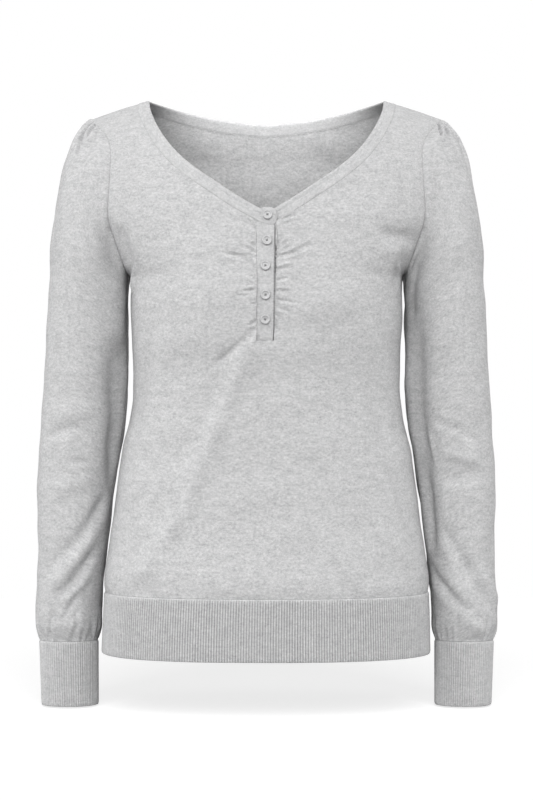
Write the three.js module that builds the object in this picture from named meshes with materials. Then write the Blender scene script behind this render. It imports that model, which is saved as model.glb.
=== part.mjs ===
// Sweater with a buttoned neck, long sleeves gathered at the cap, and ribbed hem and cuffs, in the shape it
// takes when worn. Millimetres; +Z up, the front faces -Y, +X is the wearer's left; the origin is between the
// shoulders, at the height of the neck's highest points.
import * as THREE from "three";

// ---- cloth -------------------------------------------------------------------------------------
const CLOTH = 1.5; // thickness of a panel
const SEAM_GAP = 0.3; // distance between two pieces at a seam
const HALF_GAP = SEAM_GAP / 2;

// ---- body --------------------------------------------------------------------------------------
const SQUARENESS = 2.4; // exponent of the body's oval cross-section
const NECK_HALF = 124; // half width of the neck opening at the shoulder
const NECK_SOFT = 20; // rounding of the shoulder line's formula at the middle
const SHOULDER_SLOPE = 0.27; // fall of the shoulder line per mm outwards
const SHOULDER_CURVE = 0.0008; // and how much steeper it gets
const FRONT_ROUND = 170; // height over which the front curves over to the shoulder line
const BACK_ROUND = 100; // height over which the back does
const CHEST_Z = -190; // height of the underarm points
const HEM_SEAM_Z = -519; // seam between panels and hem band
const HEM_BOTTOM_Z = -583;
const ROWS_BELOW = [-519, -492, -465, -435, -405, -375, -345, -315, -286, -257, -234, -212, -190];

// Half width and the two depths of the body, by height.
const BODY = [
  { z: -600, half: 173.5, front: 111, back: 111 },
  { z: -583, half: 173, front: 111, back: 111 },
  { z: -519, half: 170.5, front: 110, back: 108 },
  { z: -486, half: 167.5, front: 108, back: 104 },
  { z: -423, half: 160, front: 103, back: 95 },
  { z: -369, half: 152, front: 100, back: 88 },
  { z: -335, half: 144, front: 102, back: 85 },
  { z: -308, half: 140.5, front: 104, back: 86 },
  { z: -250, half: 142, front: 110, back: 94 },
  { z: -213, half: 143, front: 111, back: 99 },
  { z: -190, half: 144, front: 110, back: 101 },
  { z: -176, half: 152, front: 108, back: 102 },
  { z: -150, half: 164, front: 105, back: 102 },
  { z: -121, half: 177.5, front: 100, back: 101 },
  { z: -92, half: 180, front: 97, back: 98 },
  { z: -60, half: 181, front: 93, back: 94 },
  { z: -45, half: 184, front: 90, back: 90 },
  { z: -20, half: 195, front: 84, back: 84 },
  { z: 0, half: 200, front: 80, back: 82 },
  { z: 40, half: 210, front: 66, back: 66 },
];

// Where the armhole seam lies across the body, by height, in front and behind.
const ARMHOLE = [
  { z: -190, front: 144, back: 144 },
  { z: -176, front: 149.5, back: 150 },
  { z: -150, front: 158.5, back: 160 },
  { z: -134, front: 163.5, back: 166 },
  { z: -121, front: 165, back: 168 },
  { z: -92, front: 163.5, back: 168.5 },
  { z: -60, front: 162.5, back: 169 },
  { z: -45, front: 165.5, back: 171.5 },
  { z: -28, front: 178, back: 179.5 },
  { z: -19.4, front: 184.5, back: 184.5 },
];
const ARMHOLE_WIDE = 7; // even steps up each armhole from the underarm
const ARMHOLE_FINE = 6; // then short steps to the shoulder, two to a gather
const FINE_STEP = 6.5;
const ARM_STEPS = ARMHOLE_WIDE + ARMHOLE_FINE;

// Edge of the neck in front, from the point of the V to the shoulder.
const NECK_FRONT = [
  { z: -124, x: 2 },
  { z: -119.6, x: 11 },
  { z: -107.4, x: 31.5 },
  { z: -94.7, x: 50 },
  { z: -81.8, x: 68.5 },
  { z: -68.3, x: 85 },
  { z: -54.2, x: 98.3 },
  { z: -39.8, x: 108.6 },
  { z: -24.8, x: 116.8 },
  { z: -10.5, x: 122.2 },
  { z: -0.4, x: 124 },
];
const NECK_BACK_DEPTH = 74; // how far behind the shoulder line the neck's edge lies at the centre back
const NECK_BACK_POWER = 1.6; // exponent of its curve, seen from above
const BAND_WIDTH = 13;
const BAND_LAYERS = 2.2;
const BAND_RAISE = 0.4; // how far the band stands out from the panel
const FRONT_COLUMNS = 13;
const FRONT_NECK_STEPS = ARM_STEPS - 1; // one row of the front for each step up the armhole
const SHOULDER_STEPS = 4;
const BACK_NECK_STEPS = 9;

// ---- placket -----------------------------------------------------------------------------------
const SLIT_LEFT = -10;
const SLIT_RIGHT = 8.7;
const SLIT_ROW = 9; // row of ROWS_BELOW where the slit ends
const LAP = 2.5; // how far the button side lies below the buttonhole side
const PLACKET_TOP_LEFT_Z = -135.8; // the top slants along the neckband
const PLACKET_TOP_RIGHT_Z = -141.2;
const PLACKET_TOP_RIGHT = 8.3;
const PLACKET_BOTTOM_RIGHT = 7.1;
const PLACKET_LAYERS = 1.8;
const PLACKET_RAISE = 0.4;
const UNDER_LEFT = -7.5;
const UNDER_TOP_Z = -141;
const UNDER_BOTTOM_Z = -246;

// Rounded end of the neckband over the top of the placket: its lower and upper edge, and how far it lifts.
const BAND_TAB = [
  { lowX: -4, lowZ: -136.6, highX: 0, highZ: -119.5, lift: 0 },
  { lowX: 2, lowZ: -138.5, highX: 4.5, highZ: -118.4, lift: 0.3 },
  { lowX: 6.5, lowZ: -139.4, highX: 8, highZ: -121.5, lift: 0.9 },
  { lowX: 9.2, lowZ: -138, highX: 11, highZ: -129, lift: 1.3 },
];
// The other end, hidden below it.
const BAND_UNDER = [
  { lowX: 3, lowZ: -137, highX: 1, highZ: -124.5, lift: -2.5 },
  { lowX: -5, lowZ: -136.5, highX: -5, highZ: -124.5, lift: -2.5 },
];

// ---- buttons -----------------------------------------------------------------------------------
const BUTTONS = [
  { x: 1, z: -129.2, lift: 0.9 },
  { x: 0.4, z: -155.2, lift: 0 },
  { x: -1.2, z: -181.2, lift: 0 },
  { x: -1, z: -210.6, lift: 0 },
  { x: -1.4, z: -235.4, lift: 0 },
];
const BUTTON_RADIUS = 5;
const BUTTON_HEIGHT = 2.4;
const BUTTON_DISH = 0.8; // depth of the middle below the rim
const BUTTON_RIM = 1.4;
const BUTTON_SIDES = 16;

// ---- ribs --------------------------------------------------------------------------------------
const RIB_RAISE = 0.6;
const RIB_INSIDE = 1.4;
const HEM_RIBS = 340;
const CUFF_RIBS = 73;
const HEM_INNER_POINTS = 85;
const CUFF_INNER_POINTS = 24;

// ---- sleeves -----------------------------------------------------------------------------------
const SLEEVE_SQUARENESS = 2.15;
const CUFF_TOP_Z = -571;
const CUFF_BOTTOM_Z = -639.5;
const CUFF = { middle: 208.6, half: 29.4, deep: 26, y: 5 };
const AXIS = [0.94, 0, -0.34]; // way the sleeve leaves the armhole
const GATHER = 2.1; // height of a gather at the cap

// Rings of the sleeve: the outer and inner point, the y of the middle and the half depth.
const SLEEVE = [
  { outX: 184.5, outZ: -19.4, inX: 144, inZ: -190, y: 3, deep: 52 },
  { outX: 192.5, outZ: -24.5, inX: 144.8, inZ: -193, y: 3, deep: 53 },
  { outX: 204, outZ: -38.5, inX: 145.6, inZ: -197, y: 4, deep: 54 },
  { outX: 214, outZ: -64, inX: 146.2, inZ: -202, y: 4, deep: 54 },
  { outX: 220.5, outZ: -92, inX: 146.8, inZ: -208, y: 5, deep: 54 },
  { outX: 225, outZ: -126, inX: 147, inZ: -215, y: 5, deep: 54 },
  { outX: 229, outZ: -172, inX: 147.2, inZ: -224, y: 6, deep: 53 },
  { outX: 232, outZ: -215, inX: 147.2, inZ: -240, y: 6, deep: 52 },
  { outX: 234.5, outZ: -262, inX: 147, inZ: -268, y: 7, deep: 51 },
  { outX: 236.8, outZ: -300, inX: 147.2, inZ: -300, y: 8, deep: 50 },
  { outX: 239, outZ: -334, inX: 149.4, inZ: -334, y: 9, deep: 48 },
  { outX: 241.4, outZ: -372, inX: 155.5, inZ: -372, y: 10, deep: 46 },
  { outX: 243.5, outZ: -412, inX: 161.5, inZ: -412, y: 11, deep: 44 },
  { outX: 243.3, outZ: -448, inX: 166.5, inZ: -448, y: 11, deep: 42 },
  { outX: 242, outZ: -478, inX: 170, inZ: -478, y: 10, deep: 40 },
  { outX: 243, outZ: -508, inX: 173, inZ: -508, y: 9, deep: 39 },
  { outX: 245.4, outZ: -536, inX: 175, inZ: -536, y: 8, deep: 38 },
  { outX: 245.6, outZ: -554, inX: 175.6, inZ: -554, y: 7, deep: 36 },
  { outX: 240.8, outZ: -571, inX: 179, inZ: -571, y: 5, deep: 28 },
];
const RINGS = [
  0, 0.5, 1.1, 1.8, 2.5, 3.3, 4.2, 5.2, 6.2, 7.2, 8.2, 9.2, 10, 10.5, 11, 11.5, 12, 12.7, 13.4, 14.2, 15, 15.7,
  16.4, 17, 17.5, 18,
];
const TIP_FADE = 6; // rings over which the armhole's own line turns into a plain oval
const GATHER_END = 4.5; // ring at which the gathers have run out

// Soft folds of the body, from one end (x1, z1) to the other (x2, z2) in front view; side -1 front, 1 back.
const BODY_FOLDS = [
  { side: -1, x1: -20, z1: -275, x2: -92, z2: -470, width: 13, height: 3.2 },
  { side: -1, x1: -92, z1: -430, x2: -130, z2: -505, width: 12, height: 3 },
  { side: -1, x1: -118, z1: -290, x2: -138, z2: -480, width: 10, height: 3 },
  { side: -1, x1: 100, z1: -240, x2: 122, z2: -350, width: 12, height: 2.4 },
  { side: -1, x1: 118, z1: -330, x2: 160, z2: -500, width: 12, height: 3.2 },
  { side: -1, x1: 100, z1: -440, x2: 138, z2: -505, width: 11, height: 2.6 },
  { side: -1, x1: 124, z1: -150, x2: 150, z2: -138, width: 9, height: 2.2 },
  { side: -1, x1: -146, z1: -150, x2: -134, z2: -178, width: 9, height: 2.4 },
  { side: 1, x1: 40, z1: -330, x2: 110, z2: -480, width: 14, height: 3 },
  { side: 1, x1: -55, z1: -345, x2: -120, z2: -500, width: 13, height: 3.2 },
  { side: 1, x1: -95, z1: -300, x2: -60, z2: -340, width: 12, height: 2.4 },
  { side: 1, x1: 60, z1: -300, x2: 105, z2: -280, width: 12, height: 2.2 },
  { side: 1, x1: 130, z1: -170, x2: 115, z2: -240, width: 12, height: 2.6 },
  { side: 1, x1: -130, z1: -165, x2: -118, z2: -235, width: 12, height: 2.4 },
];
const BLOUSE = 2.5; // fullness just above the hem seam

// Folds of the sleeves: round the sleeve (0 underarm, 90 front, 180 outside, 270 back) and along it.
const SLEEVE_FOLDS = [
  { side: 1, round1: 60, z1: -352, round2: 150, z2: -362, width: 8, height: 3.2 },
  { side: 1, round1: 70, z1: -380, round2: 165, z2: -372, width: 8, height: 3 },
  { side: 1, round1: 95, z1: -402, round2: 180, z2: -392, width: 8, height: 2.4 },
  { side: 1, round1: 70, z1: -480, round2: 160, z2: -545, width: 9, height: 3.2 },
  { side: 1, round1: 120, z1: -120, round2: 165, z2: -180, width: 10, height: 2.4 },
  { side: 1, round1: 200, z1: -350, round2: 290, z2: -372, width: 9, height: 2.8 },
  { side: 1, round1: 215, z1: -500, round2: 300, z2: -540, width: 10, height: 2.8 },
  { side: -1, round1: 65, z1: -345, round2: 150, z2: -358, width: 8, height: 3 },
  { side: -1, round1: 80, z1: -372, round2: 170, z2: -380, width: 8, height: 3.2 },
  { side: -1, round1: 55, z1: -425, round2: 165, z2: -510, width: 9, height: 3.4 },
  { side: -1, round1: 60, z1: -455, round2: 140, z2: -530, width: 9, height: 3 },
  { side: -1, round1: 125, z1: -120, round2: 160, z2: -185, width: 10, height: 2.2 },
  { side: -1, round1: 205, z1: -362, round2: 285, z2: -350, width: 9, height: 2.8 },
  { side: -1, round1: 220, z1: -520, round2: 310, z2: -490, width: 10, height: 2.8 },
];

// ---- small vector and table helpers ------------------------------------------------------------
const add = (a, b, k = 1) => [a[0] + k * b[0], a[1] + k * b[1], a[2] + k * b[2]];
const minus = (a, b) => add(a, b, -1);
const dot = (a, b) => a[0] * b[0] + a[1] * b[1] + a[2] * b[2];
const times = (a, k) => [k * a[0], k * a[1], k * a[2]];
const across = (a, b) => [a[1] * b[2] - a[2] * b[1], a[2] * b[0] - a[0] * b[2], a[0] * b[1] - a[1] * b[0]];
const unit = (a) => times(a, 1 / Math.hypot(...a));
const mix = (a, b, t) => a + (b - a) * t;
const mixed = (a, b, t) => [mix(a[0], b[0], t), mix(a[1], b[1], t), mix(a[2], b[2], t)];
const mixedPair = (a, b, t) => [mix(a[0], b[0], t), mix(a[1], b[1], t)];
const numbers = (last) => Array.from({ length: last + 1 }, (_, k) => k);
const clamp = (v, low, high) => Math.min(high, Math.max(low, v));
const degrees = (d) => (d * Math.PI) / 180;

function smooth(from, to, v) {
  const t = clamp((v - from) / (to - from), 0, 1);
  return t * t * (3 - 2 * t);
}

// Smooth value of one column of a table, at a value of its key column; the key rises from row to row.
function along(table, key, column, at) {
  const last = table.length - 1;
  const v = clamp(at, table[0][key], table[last][key]);
  let i = 0;
  while (i < last - 1 && v > table[i + 1][key]) i += 1;
  const slope = (k) => (table[k + 1][column] - table[k][column]) / (table[k + 1][key] - table[k][key]);
  const tangent = (k) => {
    if (k === 0) return slope(0);
    if (k === last) return slope(last - 1);
    const before = slope(k - 1);
    const after = slope(k);
    return before * after <= 0 ? 0 : (2 * before * after) / (before + after);
  };
  const span = table[i + 1][key] - table[i][key];
  const t = (v - table[i][key]) / span;
  const rise = (1 + 2 * t) * (1 - t) * (1 - t);
  const start = t * (1 - t) * (1 - t) * span * tangent(i);
  const end = -t * t * (1 - t) * span * tangent(i + 1);
  return table[i][column] * rise + table[i + 1][column] * (1 - rise) + start + end;
}

// The same for a table whose key is the row's own number.
const numbered = (table) => table.map((row, index) => ({ ...row, index }));

// Points picked from a dense line at given distances along it.
function pick(line, wanted) {
  const reach = [0];
  for (let i = 1; i < line.length; i += 1) reach.push(reach[i - 1] + Math.hypot(...minus(line[i], line[i - 1])));
  const total = reach[line.length - 1];
  return wanted(total).map((d) => {
    let i = 0;
    while (i < line.length - 2 && d > reach[i + 1]) i += 1;
    return mixed(line[i], line[i + 1], clamp((d - reach[i]) / (reach[i + 1] - reach[i]), 0, 1));
  });
}

// ---- surface of the body -----------------------------------------------------------------------
function shoulderHeight(x) {
  const out = Math.hypot(x, NECK_SOFT) - NECK_HALF;
  return -SHOULDER_SLOPE * out - SHOULDER_CURVE * out * Math.abs(out);
}

const reachOf = (side) => (side < 0 ? FRONT_ROUND : BACK_ROUND);
const widthAt = (z) => along(BODY, "z", "half", z);
const depthOf = (side, z) => along(BODY, "z", side < 0 ? "front" : "back", z);

// Point of the body's surface at x, z; side is -1 in front and 1 behind.
function bodyAt(side, x, z) {
  const share = clamp(Math.abs(x) / widthAt(z), 0, 1);
  const fall = clamp((shoulderHeight(x) - z) / reachOf(side), 0, 1);
  const full = Math.sqrt(1 - (1 - fall) * (1 - fall));
  const deep = Math.pow(1 - Math.pow(share, SQUARENESS), 1 / SQUARENESS);
  return [x, side * depthOf(side, z) * deep * full, z];
}

// The same surface by the angle round the body and the drop from the shoulder line along the cloth.
function bodyTurned(side, turn, drop) {
  const reach = reachOf(side);
  const swing = drop / reach;
  const fall = swing < Math.PI / 2 ? 1 - Math.cos(swing) : 1 + swing - Math.PI / 2;
  const out = Math.pow(Math.abs(Math.sin(turn)), 2 / SQUARENESS) * Math.sign(turn);
  let x = 0;
  let z = 0;
  for (let i = 0; i < 12; i += 1) {
    z = shoulderHeight(x) - reach * fall;
    x = out * widthAt(z);
  }
  const full = swing < Math.PI / 2 ? Math.sin(swing) : 1;
  const deep = Math.pow(Math.abs(Math.cos(turn)), 2 / SQUARENESS);
  return [x, side * depthOf(side, z) * deep * full, z];
}

function turnOf(x, z) {
  const share = clamp(Math.abs(x) / widthAt(z), 0, 1);
  return Math.sign(x) * Math.asin(Math.pow(share, SQUARENESS / 2));
}

function dropOf(side, x, z) {
  const reach = reachOf(side);
  const fall = Math.max(0, (shoulderHeight(x) - z) / reach);
  return reach * (fall < 1 ? Math.acos(1 - fall) : fall - 1 + Math.PI / 2);
}

// Outward normal of the body's surface.
function bodyNormal(side, x, z) {
  const turn = turnOf(x, z);
  const drop = dropOf(side, x, z);
  const step = 0.5;
  const swing = 0.004;
  const down = minus(bodyTurned(side, turn, drop + step), bodyTurned(side, turn, Math.max(0, drop - step)));
  const round = minus(bodyTurned(side, turn + swing, drop), bodyTurned(side, turn - swing, drop));
  const normal = unit(across(down, round));
  return normal[1] * side < 0 ? times(normal, -1) : normal;
}

// ---- lines on the body -------------------------------------------------------------------------
// Armhole seam from the underarm to the shoulder tip, on the wearer's left.
function armholeLine(side) {
  const line = [];
  const column = side < 0 ? "front" : "back";
  const top = ARMHOLE[ARMHOLE.length - 1].z;
  for (let i = 0; i <= 400; i += 1) {
    const t = i / 400;
    const z = mix(CHEST_Z, top, 1 - (1 - t) * (1 - t));
    line.push(bodyAt(side, along(ARMHOLE, "z", column, z), z));
  }
  line[0] = [line[0][0], 0, line[0][2]];
  line[400] = [line[400][0], 0, line[400][2]];
  const steps = (total) => {
    const wide = total - ARMHOLE_FINE * FINE_STEP;
    const lower = Array.from({ length: ARMHOLE_WIDE }, (_, k) => (k * wide) / ARMHOLE_WIDE);
    const upper = Array.from({ length: ARMHOLE_FINE + 1 }, (_, k) => wide + k * FINE_STEP);
    return [...lower, ...upper];
  };
  return pick(line, steps);
}
const ARMHOLES = { front: armholeLine(-1), back: armholeLine(1) };
const armholeOf = (side) => (side < 0 ? ARMHOLES.front : ARMHOLES.back);

// Frame of the armhole seam at step i: p on it, n out of the cloth, g from the body to the sleeve.
function armholeFrame(side, i) {
  const line = armholeOf(side);
  const other = armholeOf(-side);
  const before = i > 0 ? line[i - 1] : other[1];
  const after = i < ARM_STEPS ? line[i + 1] : other[ARM_STEPS - 1];
  const t = unit(minus(after, before));
  const n = times(unit(across(AXIS, t)), -side);
  const g = unit(minus(AXIS, times(t, dot(AXIS, t))));
  return { p: line[i], n, g };
}

// Edge of the neck on the wearer's left, from the middle to the shoulder.
function neckEdge(side, from) {
  const line = [];
  for (let i = 0; i <= 200; i += 1) {
    const t = i / 200;
    if (side < 0) {
      const z = mix(NECK_FRONT[0].z, NECK_FRONT[NECK_FRONT.length - 1].z, t);
      line.push(bodyAt(side, along(NECK_FRONT, "z", "x", z), z));
    } else {
      const share = Math.sin((t * Math.PI) / 2);
      const y = NECK_BACK_DEPTH * Math.pow(1 - Math.pow(share, NECK_BACK_POWER), 1 / NECK_BACK_POWER);
      line.push(backAt(share * NECK_HALF, y));
    }
  }
  line[200] = [NECK_HALF, 0, shoulderHeight(NECK_HALF)];
  return line.filter((p) => p[0] >= from);
}

// Point of the back's surface by x and y, near the shoulders.
function backAt(x, y) {
  let low = 0;
  let high = (BACK_ROUND * Math.PI) / 2;
  const fallen = (drop) => bodyAt(1, x, shoulderHeight(x) - BACK_ROUND * (1 - Math.cos(drop / BACK_ROUND)));
  for (let i = 0; i < 40; i += 1) {
    const middle = (low + high) / 2;
    if (fallen(middle)[1] < y) low = middle;
    else high = middle;
  }
  return fallen(low);
}

// Seam between neckband and panel: each point lies one band width outside the neck's edge, on the surface.
function neckSeam(side) {
  const edge = neckEdge(side, 0);
  const walked = edge.map((p, i) => {
    const last = edge.length - 1;
    if (i === last) {
      const run = BAND_WIDTH / Math.hypot(1, SHOULDER_SLOPE);
      return [NECK_HALF + run, 0, shoulderHeight(NECK_HALF + run)];
    }
    const t = unit(minus(edge[Math.min(last, i + 1)], edge[Math.max(0, i - 1)]));
    let at = p;
    for (let k = 0; k < 4; k += 1) {
      const n = bodyNormal(side, at[0], at[2]);
      let g = unit(across(t, n));
      if (g[0] < 0) g = times(g, -1);
      const ahead = add(at, g, BAND_WIDTH / 4);
      at = side > 0 ? backAt(ahead[0], Math.max(0, ahead[1])) : bodyAt(side, ahead[0], Math.min(ahead[2], shoulderHeight(ahead[0])));
    }
    return at;
  });
  return { edge, walked };
}

// Paired points of seam and neck edge, from the middle (or the slit) to the shoulder.
function neckPairs(side, startX, steps) {
  const { edge, walked } = neckSeam(side);
  const pairs = edge.map((p, i) => ({ high: p, low: walked[i] })).filter((pair) => pair.low[0] >= startX);
  const first = pairs[0];
  if (side < 0) first.low = bodyAt(side, startX, first.low[2]);
  if (side > 0) {
    first.high = [0, first.high[1], first.high[2]];
    first.low = backAt(0, Math.max(0, first.low[1]));
  }
  const reach = [0];
  for (let i = 1; i < pairs.length; i += 1) {
    reach.push(reach[i - 1] + Math.hypot(...minus(pairs[i].low, pairs[i - 1].low)));
  }
  const total = reach[reach.length - 1];
  const picked = [];
  for (let k = 0; k <= steps; k += 1) {
    const d = (total * k) / steps;
    let i = 0;
    while (i < pairs.length - 2 && d > reach[i + 1]) i += 1;
    const t = clamp((d - reach[i]) / (reach[i + 1] - reach[i]), 0, 1);
    picked.push({
      low: mixed(pairs[i].low, pairs[i + 1].low, t),
      high: mixed(pairs[i].high, pairs[i + 1].high, t),
    });
  }
  return picked;
}
const NECK = {
  frontLeft: neckPairs(-1, SLIT_RIGHT, FRONT_NECK_STEPS),
  frontRight: neckPairs(-1, -SLIT_LEFT, FRONT_NECK_STEPS),
  back: neckPairs(1, 0, BACK_NECK_STEPS),
};

// ---- walls -------------------------------------------------------------------------------------
function meshOf(name, points, faces, material) {
  const volume = faces.reduce((sum, [a, b, c]) => sum + dot(points[a], across(points[b], points[c])), 0);
  const facing = volume < 0 ? faces.map(([a, b, c]) => [a, c, b]) : faces;
  const geometry = new THREE.BufferGeometry();
  geometry.setAttribute("position", new THREE.Float32BufferAttribute(points.flat(), 3));
  geometry.setIndex(facing.flat());
  geometry.computeVertexNormals();
  const mesh = new THREE.Mesh(geometry, material);
  mesh.name = name;
  return mesh;
}

// Wall between two grids of points, given row by row; closed grids join their last column to the first.
function wall(name, outer, inner, material, closed = false, has = () => true) {
  const rows = outer.length - 1;
  const width = outer[0].length;
  const columns = closed ? width : width - 1;
  const points = [...outer.flat(), ...inner.flat()];
  const inside = outer.length * width;
  const at = (i, j) => i * width + (j % width);
  const there = (i, j) => {
    if (i < 0 || i >= rows) return false;
    if (closed) return has(i, (j + columns) % columns);
    return j >= 0 && j < columns && has(i, j);
  };
  const faces = [];
  const quad = (a, b, c, d) => faces.push([a, b, c], [a, c, d]);
  for (let i = 0; i < rows; i += 1) {
    for (let j = 0; j < columns; j += 1) {
      if (!there(i, j)) continue;
      const [a, b, c, d] = [at(i, j), at(i, j + 1), at(i + 1, j + 1), at(i + 1, j)];
      quad(a, b, c, d);
      faces.push([a + inside, c + inside, b + inside], [a + inside, d + inside, c + inside]);
      if (!there(i - 1, j)) quad(b, a, a + inside, b + inside);
      if (!there(i + 1, j)) quad(d, c, c + inside, d + inside);
      if (!there(i, j - 1)) quad(a, d, d + inside, a + inside);
      if (!there(i, j + 1)) quad(c, b, b + inside, c + inside);
    }
  }
  return meshOf(name, points, faces, material);
}

// Normals of a grid of points by their neighbours, facing away from the middle line given by inward(p).
function normalsOf(grid, closed, away) {
  const last = grid.length - 1;
  return grid.map((row, i) =>
    row.map((p, j) => {
      const wide = row.length;
      const left = closed ? row[(j + wide - 1) % wide] : row[Math.max(0, j - 1)];
      const right = closed ? row[(j + 1) % wide] : row[Math.min(wide - 1, j + 1)];
      const up = grid[Math.min(last, i + 1)][j];
      const down = grid[Math.max(0, i - 1)][j];
      const n = unit(across(minus(right, left), minus(up, down)));
      return dot(n, away(p, i, j)) < 0 ? times(n, -1) : n;
    }),
  );
}

// Height of the folds of a table at a place (u, v), each a soft ridge from one end to the other.
function foldHeight(folds, ends, u, v) {
  return folds.reduce((sum, fold) => {
    const [u1, v1, u2, v2] = ends(fold);
    const length = Math.hypot(u2 - u1, v2 - v1);
    const run = ((u - u1) * (u2 - u1) + (v - v1) * (v2 - v1)) / (length * length);
    const off = ((u - u1) * (v2 - v1) - (v - v1) * (u2 - u1)) / length;
    const end = smooth(-0.25, 0.25, run) * (1 - smooth(0.75, 1.25, run));
    return sum + fold.height * end * Math.exp(-(off * off) / (fold.width * fold.width));
  }, 0);
}

// ---- front and back panels ---------------------------------------------------------------------
const LOW_ROWS = ROWS_BELOW.length - 1;
const TOP_ROWS = ARM_STEPS + SHOULDER_STEPS;

// Point of the shoulder seam, a share of the way from the tip to the neck.
function shoulderPoint(share) {
  const tip = ARMHOLES.front[ARM_STEPS];
  const neckPoint = NECK.back[BACK_NECK_STEPS].low;
  const x = mix(tip[0], neckPoint[0], share);
  return [x, 0, share === 0 ? tip[2] : shoulderHeight(x)];
}

const place = (side, p) => [turnOf(p[0], p[2]), dropOf(side, p[0], p[2])];

// Point of a panel below the underarm, a share of the way from startX to the side seam; x is positive.
function lowPoint(side, startX, z, share) {
  const half = widthAt(z);
  if (share === 1) return [half, 0, z];
  const turn = mix(turnOf(startX, z), Math.PI / 2, share);
  return bodyAt(side, half * Math.pow(Math.sin(turn), 2 / SQUARENESS), z);
}

// Half of the front as rows of points, each from the slit or the neck seam to the side seam or the armhole;
// the last row is the shoulder seam.
function halfFront(startX, neck) {
  const rows = ROWS_BELOW.map((z) => numbers(FRONT_COLUMNS).map((k) => lowPoint(-1, startX, z, k / FRONT_COLUMNS)));
  for (let i = 1; i < ARM_STEPS; i += 1) {
    const from = place(-1, neck[i - 1].low);
    const to = place(-1, ARMHOLES.front[i]);
    rows.push(
      numbers(FRONT_COLUMNS).map((k) => {
        const u = k / FRONT_COLUMNS;
        if (k === 0) return neck[i - 1].low;
        if (k === FRONT_COLUMNS) return ARMHOLES.front[i];
        return bodyTurned(-1, mix(from[0], to[0], u), Math.max(0, mix(from[1], to[1], u)));
      }),
    );
  }
  rows.push(numbers(FRONT_COLUMNS).map((k) => shoulderPoint(1 - k / FRONT_COLUMNS)));
  return rows;
}

// Half of the back as rows of points from the middle; its last column runs up the side seam, the armhole
// and the shoulder, and its last row is the neck seam.
function halfBack(neck) {
  const columns = neck.length - 1;
  const onRidge = (p) => [turnOf(p[0], p[2]), 0];
  const bottom = numbers(columns).map((k) => place(1, lowPoint(1, 0, CHEST_Z, k / columns)));
  const top = neck.map(({ low }, k) => (k === columns ? onRidge(low) : place(1, low)));
  const edge = (i) => (i <= ARM_STEPS ? ARMHOLES.back[i] : shoulderPoint((i - ARM_STEPS) / SHOULDER_STEPS));
  const rows = ROWS_BELOW.map((z) => numbers(columns).map((k) => lowPoint(1, 0, z, k / columns)));
  for (let i = 1; i <= TOP_ROWS; i += 1) {
    const v = i / TOP_ROWS;
    const start = mixedPair(bottom[0], top[0], v);
    const side = i < ARM_STEPS ? place(1, edge(i)) : onRidge(edge(i));
    rows.push(
      neck.map(({ low }, k) => {
        const u = k / columns;
        if (i === TOP_ROWS) return low;
        if (k === columns) return edge(i);
        const [turn, drop] = [0, 1].map((c) => {
          const ends = mix(bottom[k][c], top[k][c], v);
          const edges = mix(start[c], side[c], u);
          const corners = mix(mix(bottom[0][c], bottom[columns][c], u), mix(top[0][c], top[columns][c], u), v);
          return ends + edges - corners;
        });
        return bodyTurned(1, turn, Math.max(0, drop));
      }),
    );
  }
  return rows;
}

const turned = (hand, p) => [hand * p[0], p[1], p[2]];
const bodyEnds = (fold) => [fold.x1, fold.z1, fold.x2, fold.z2];

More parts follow.
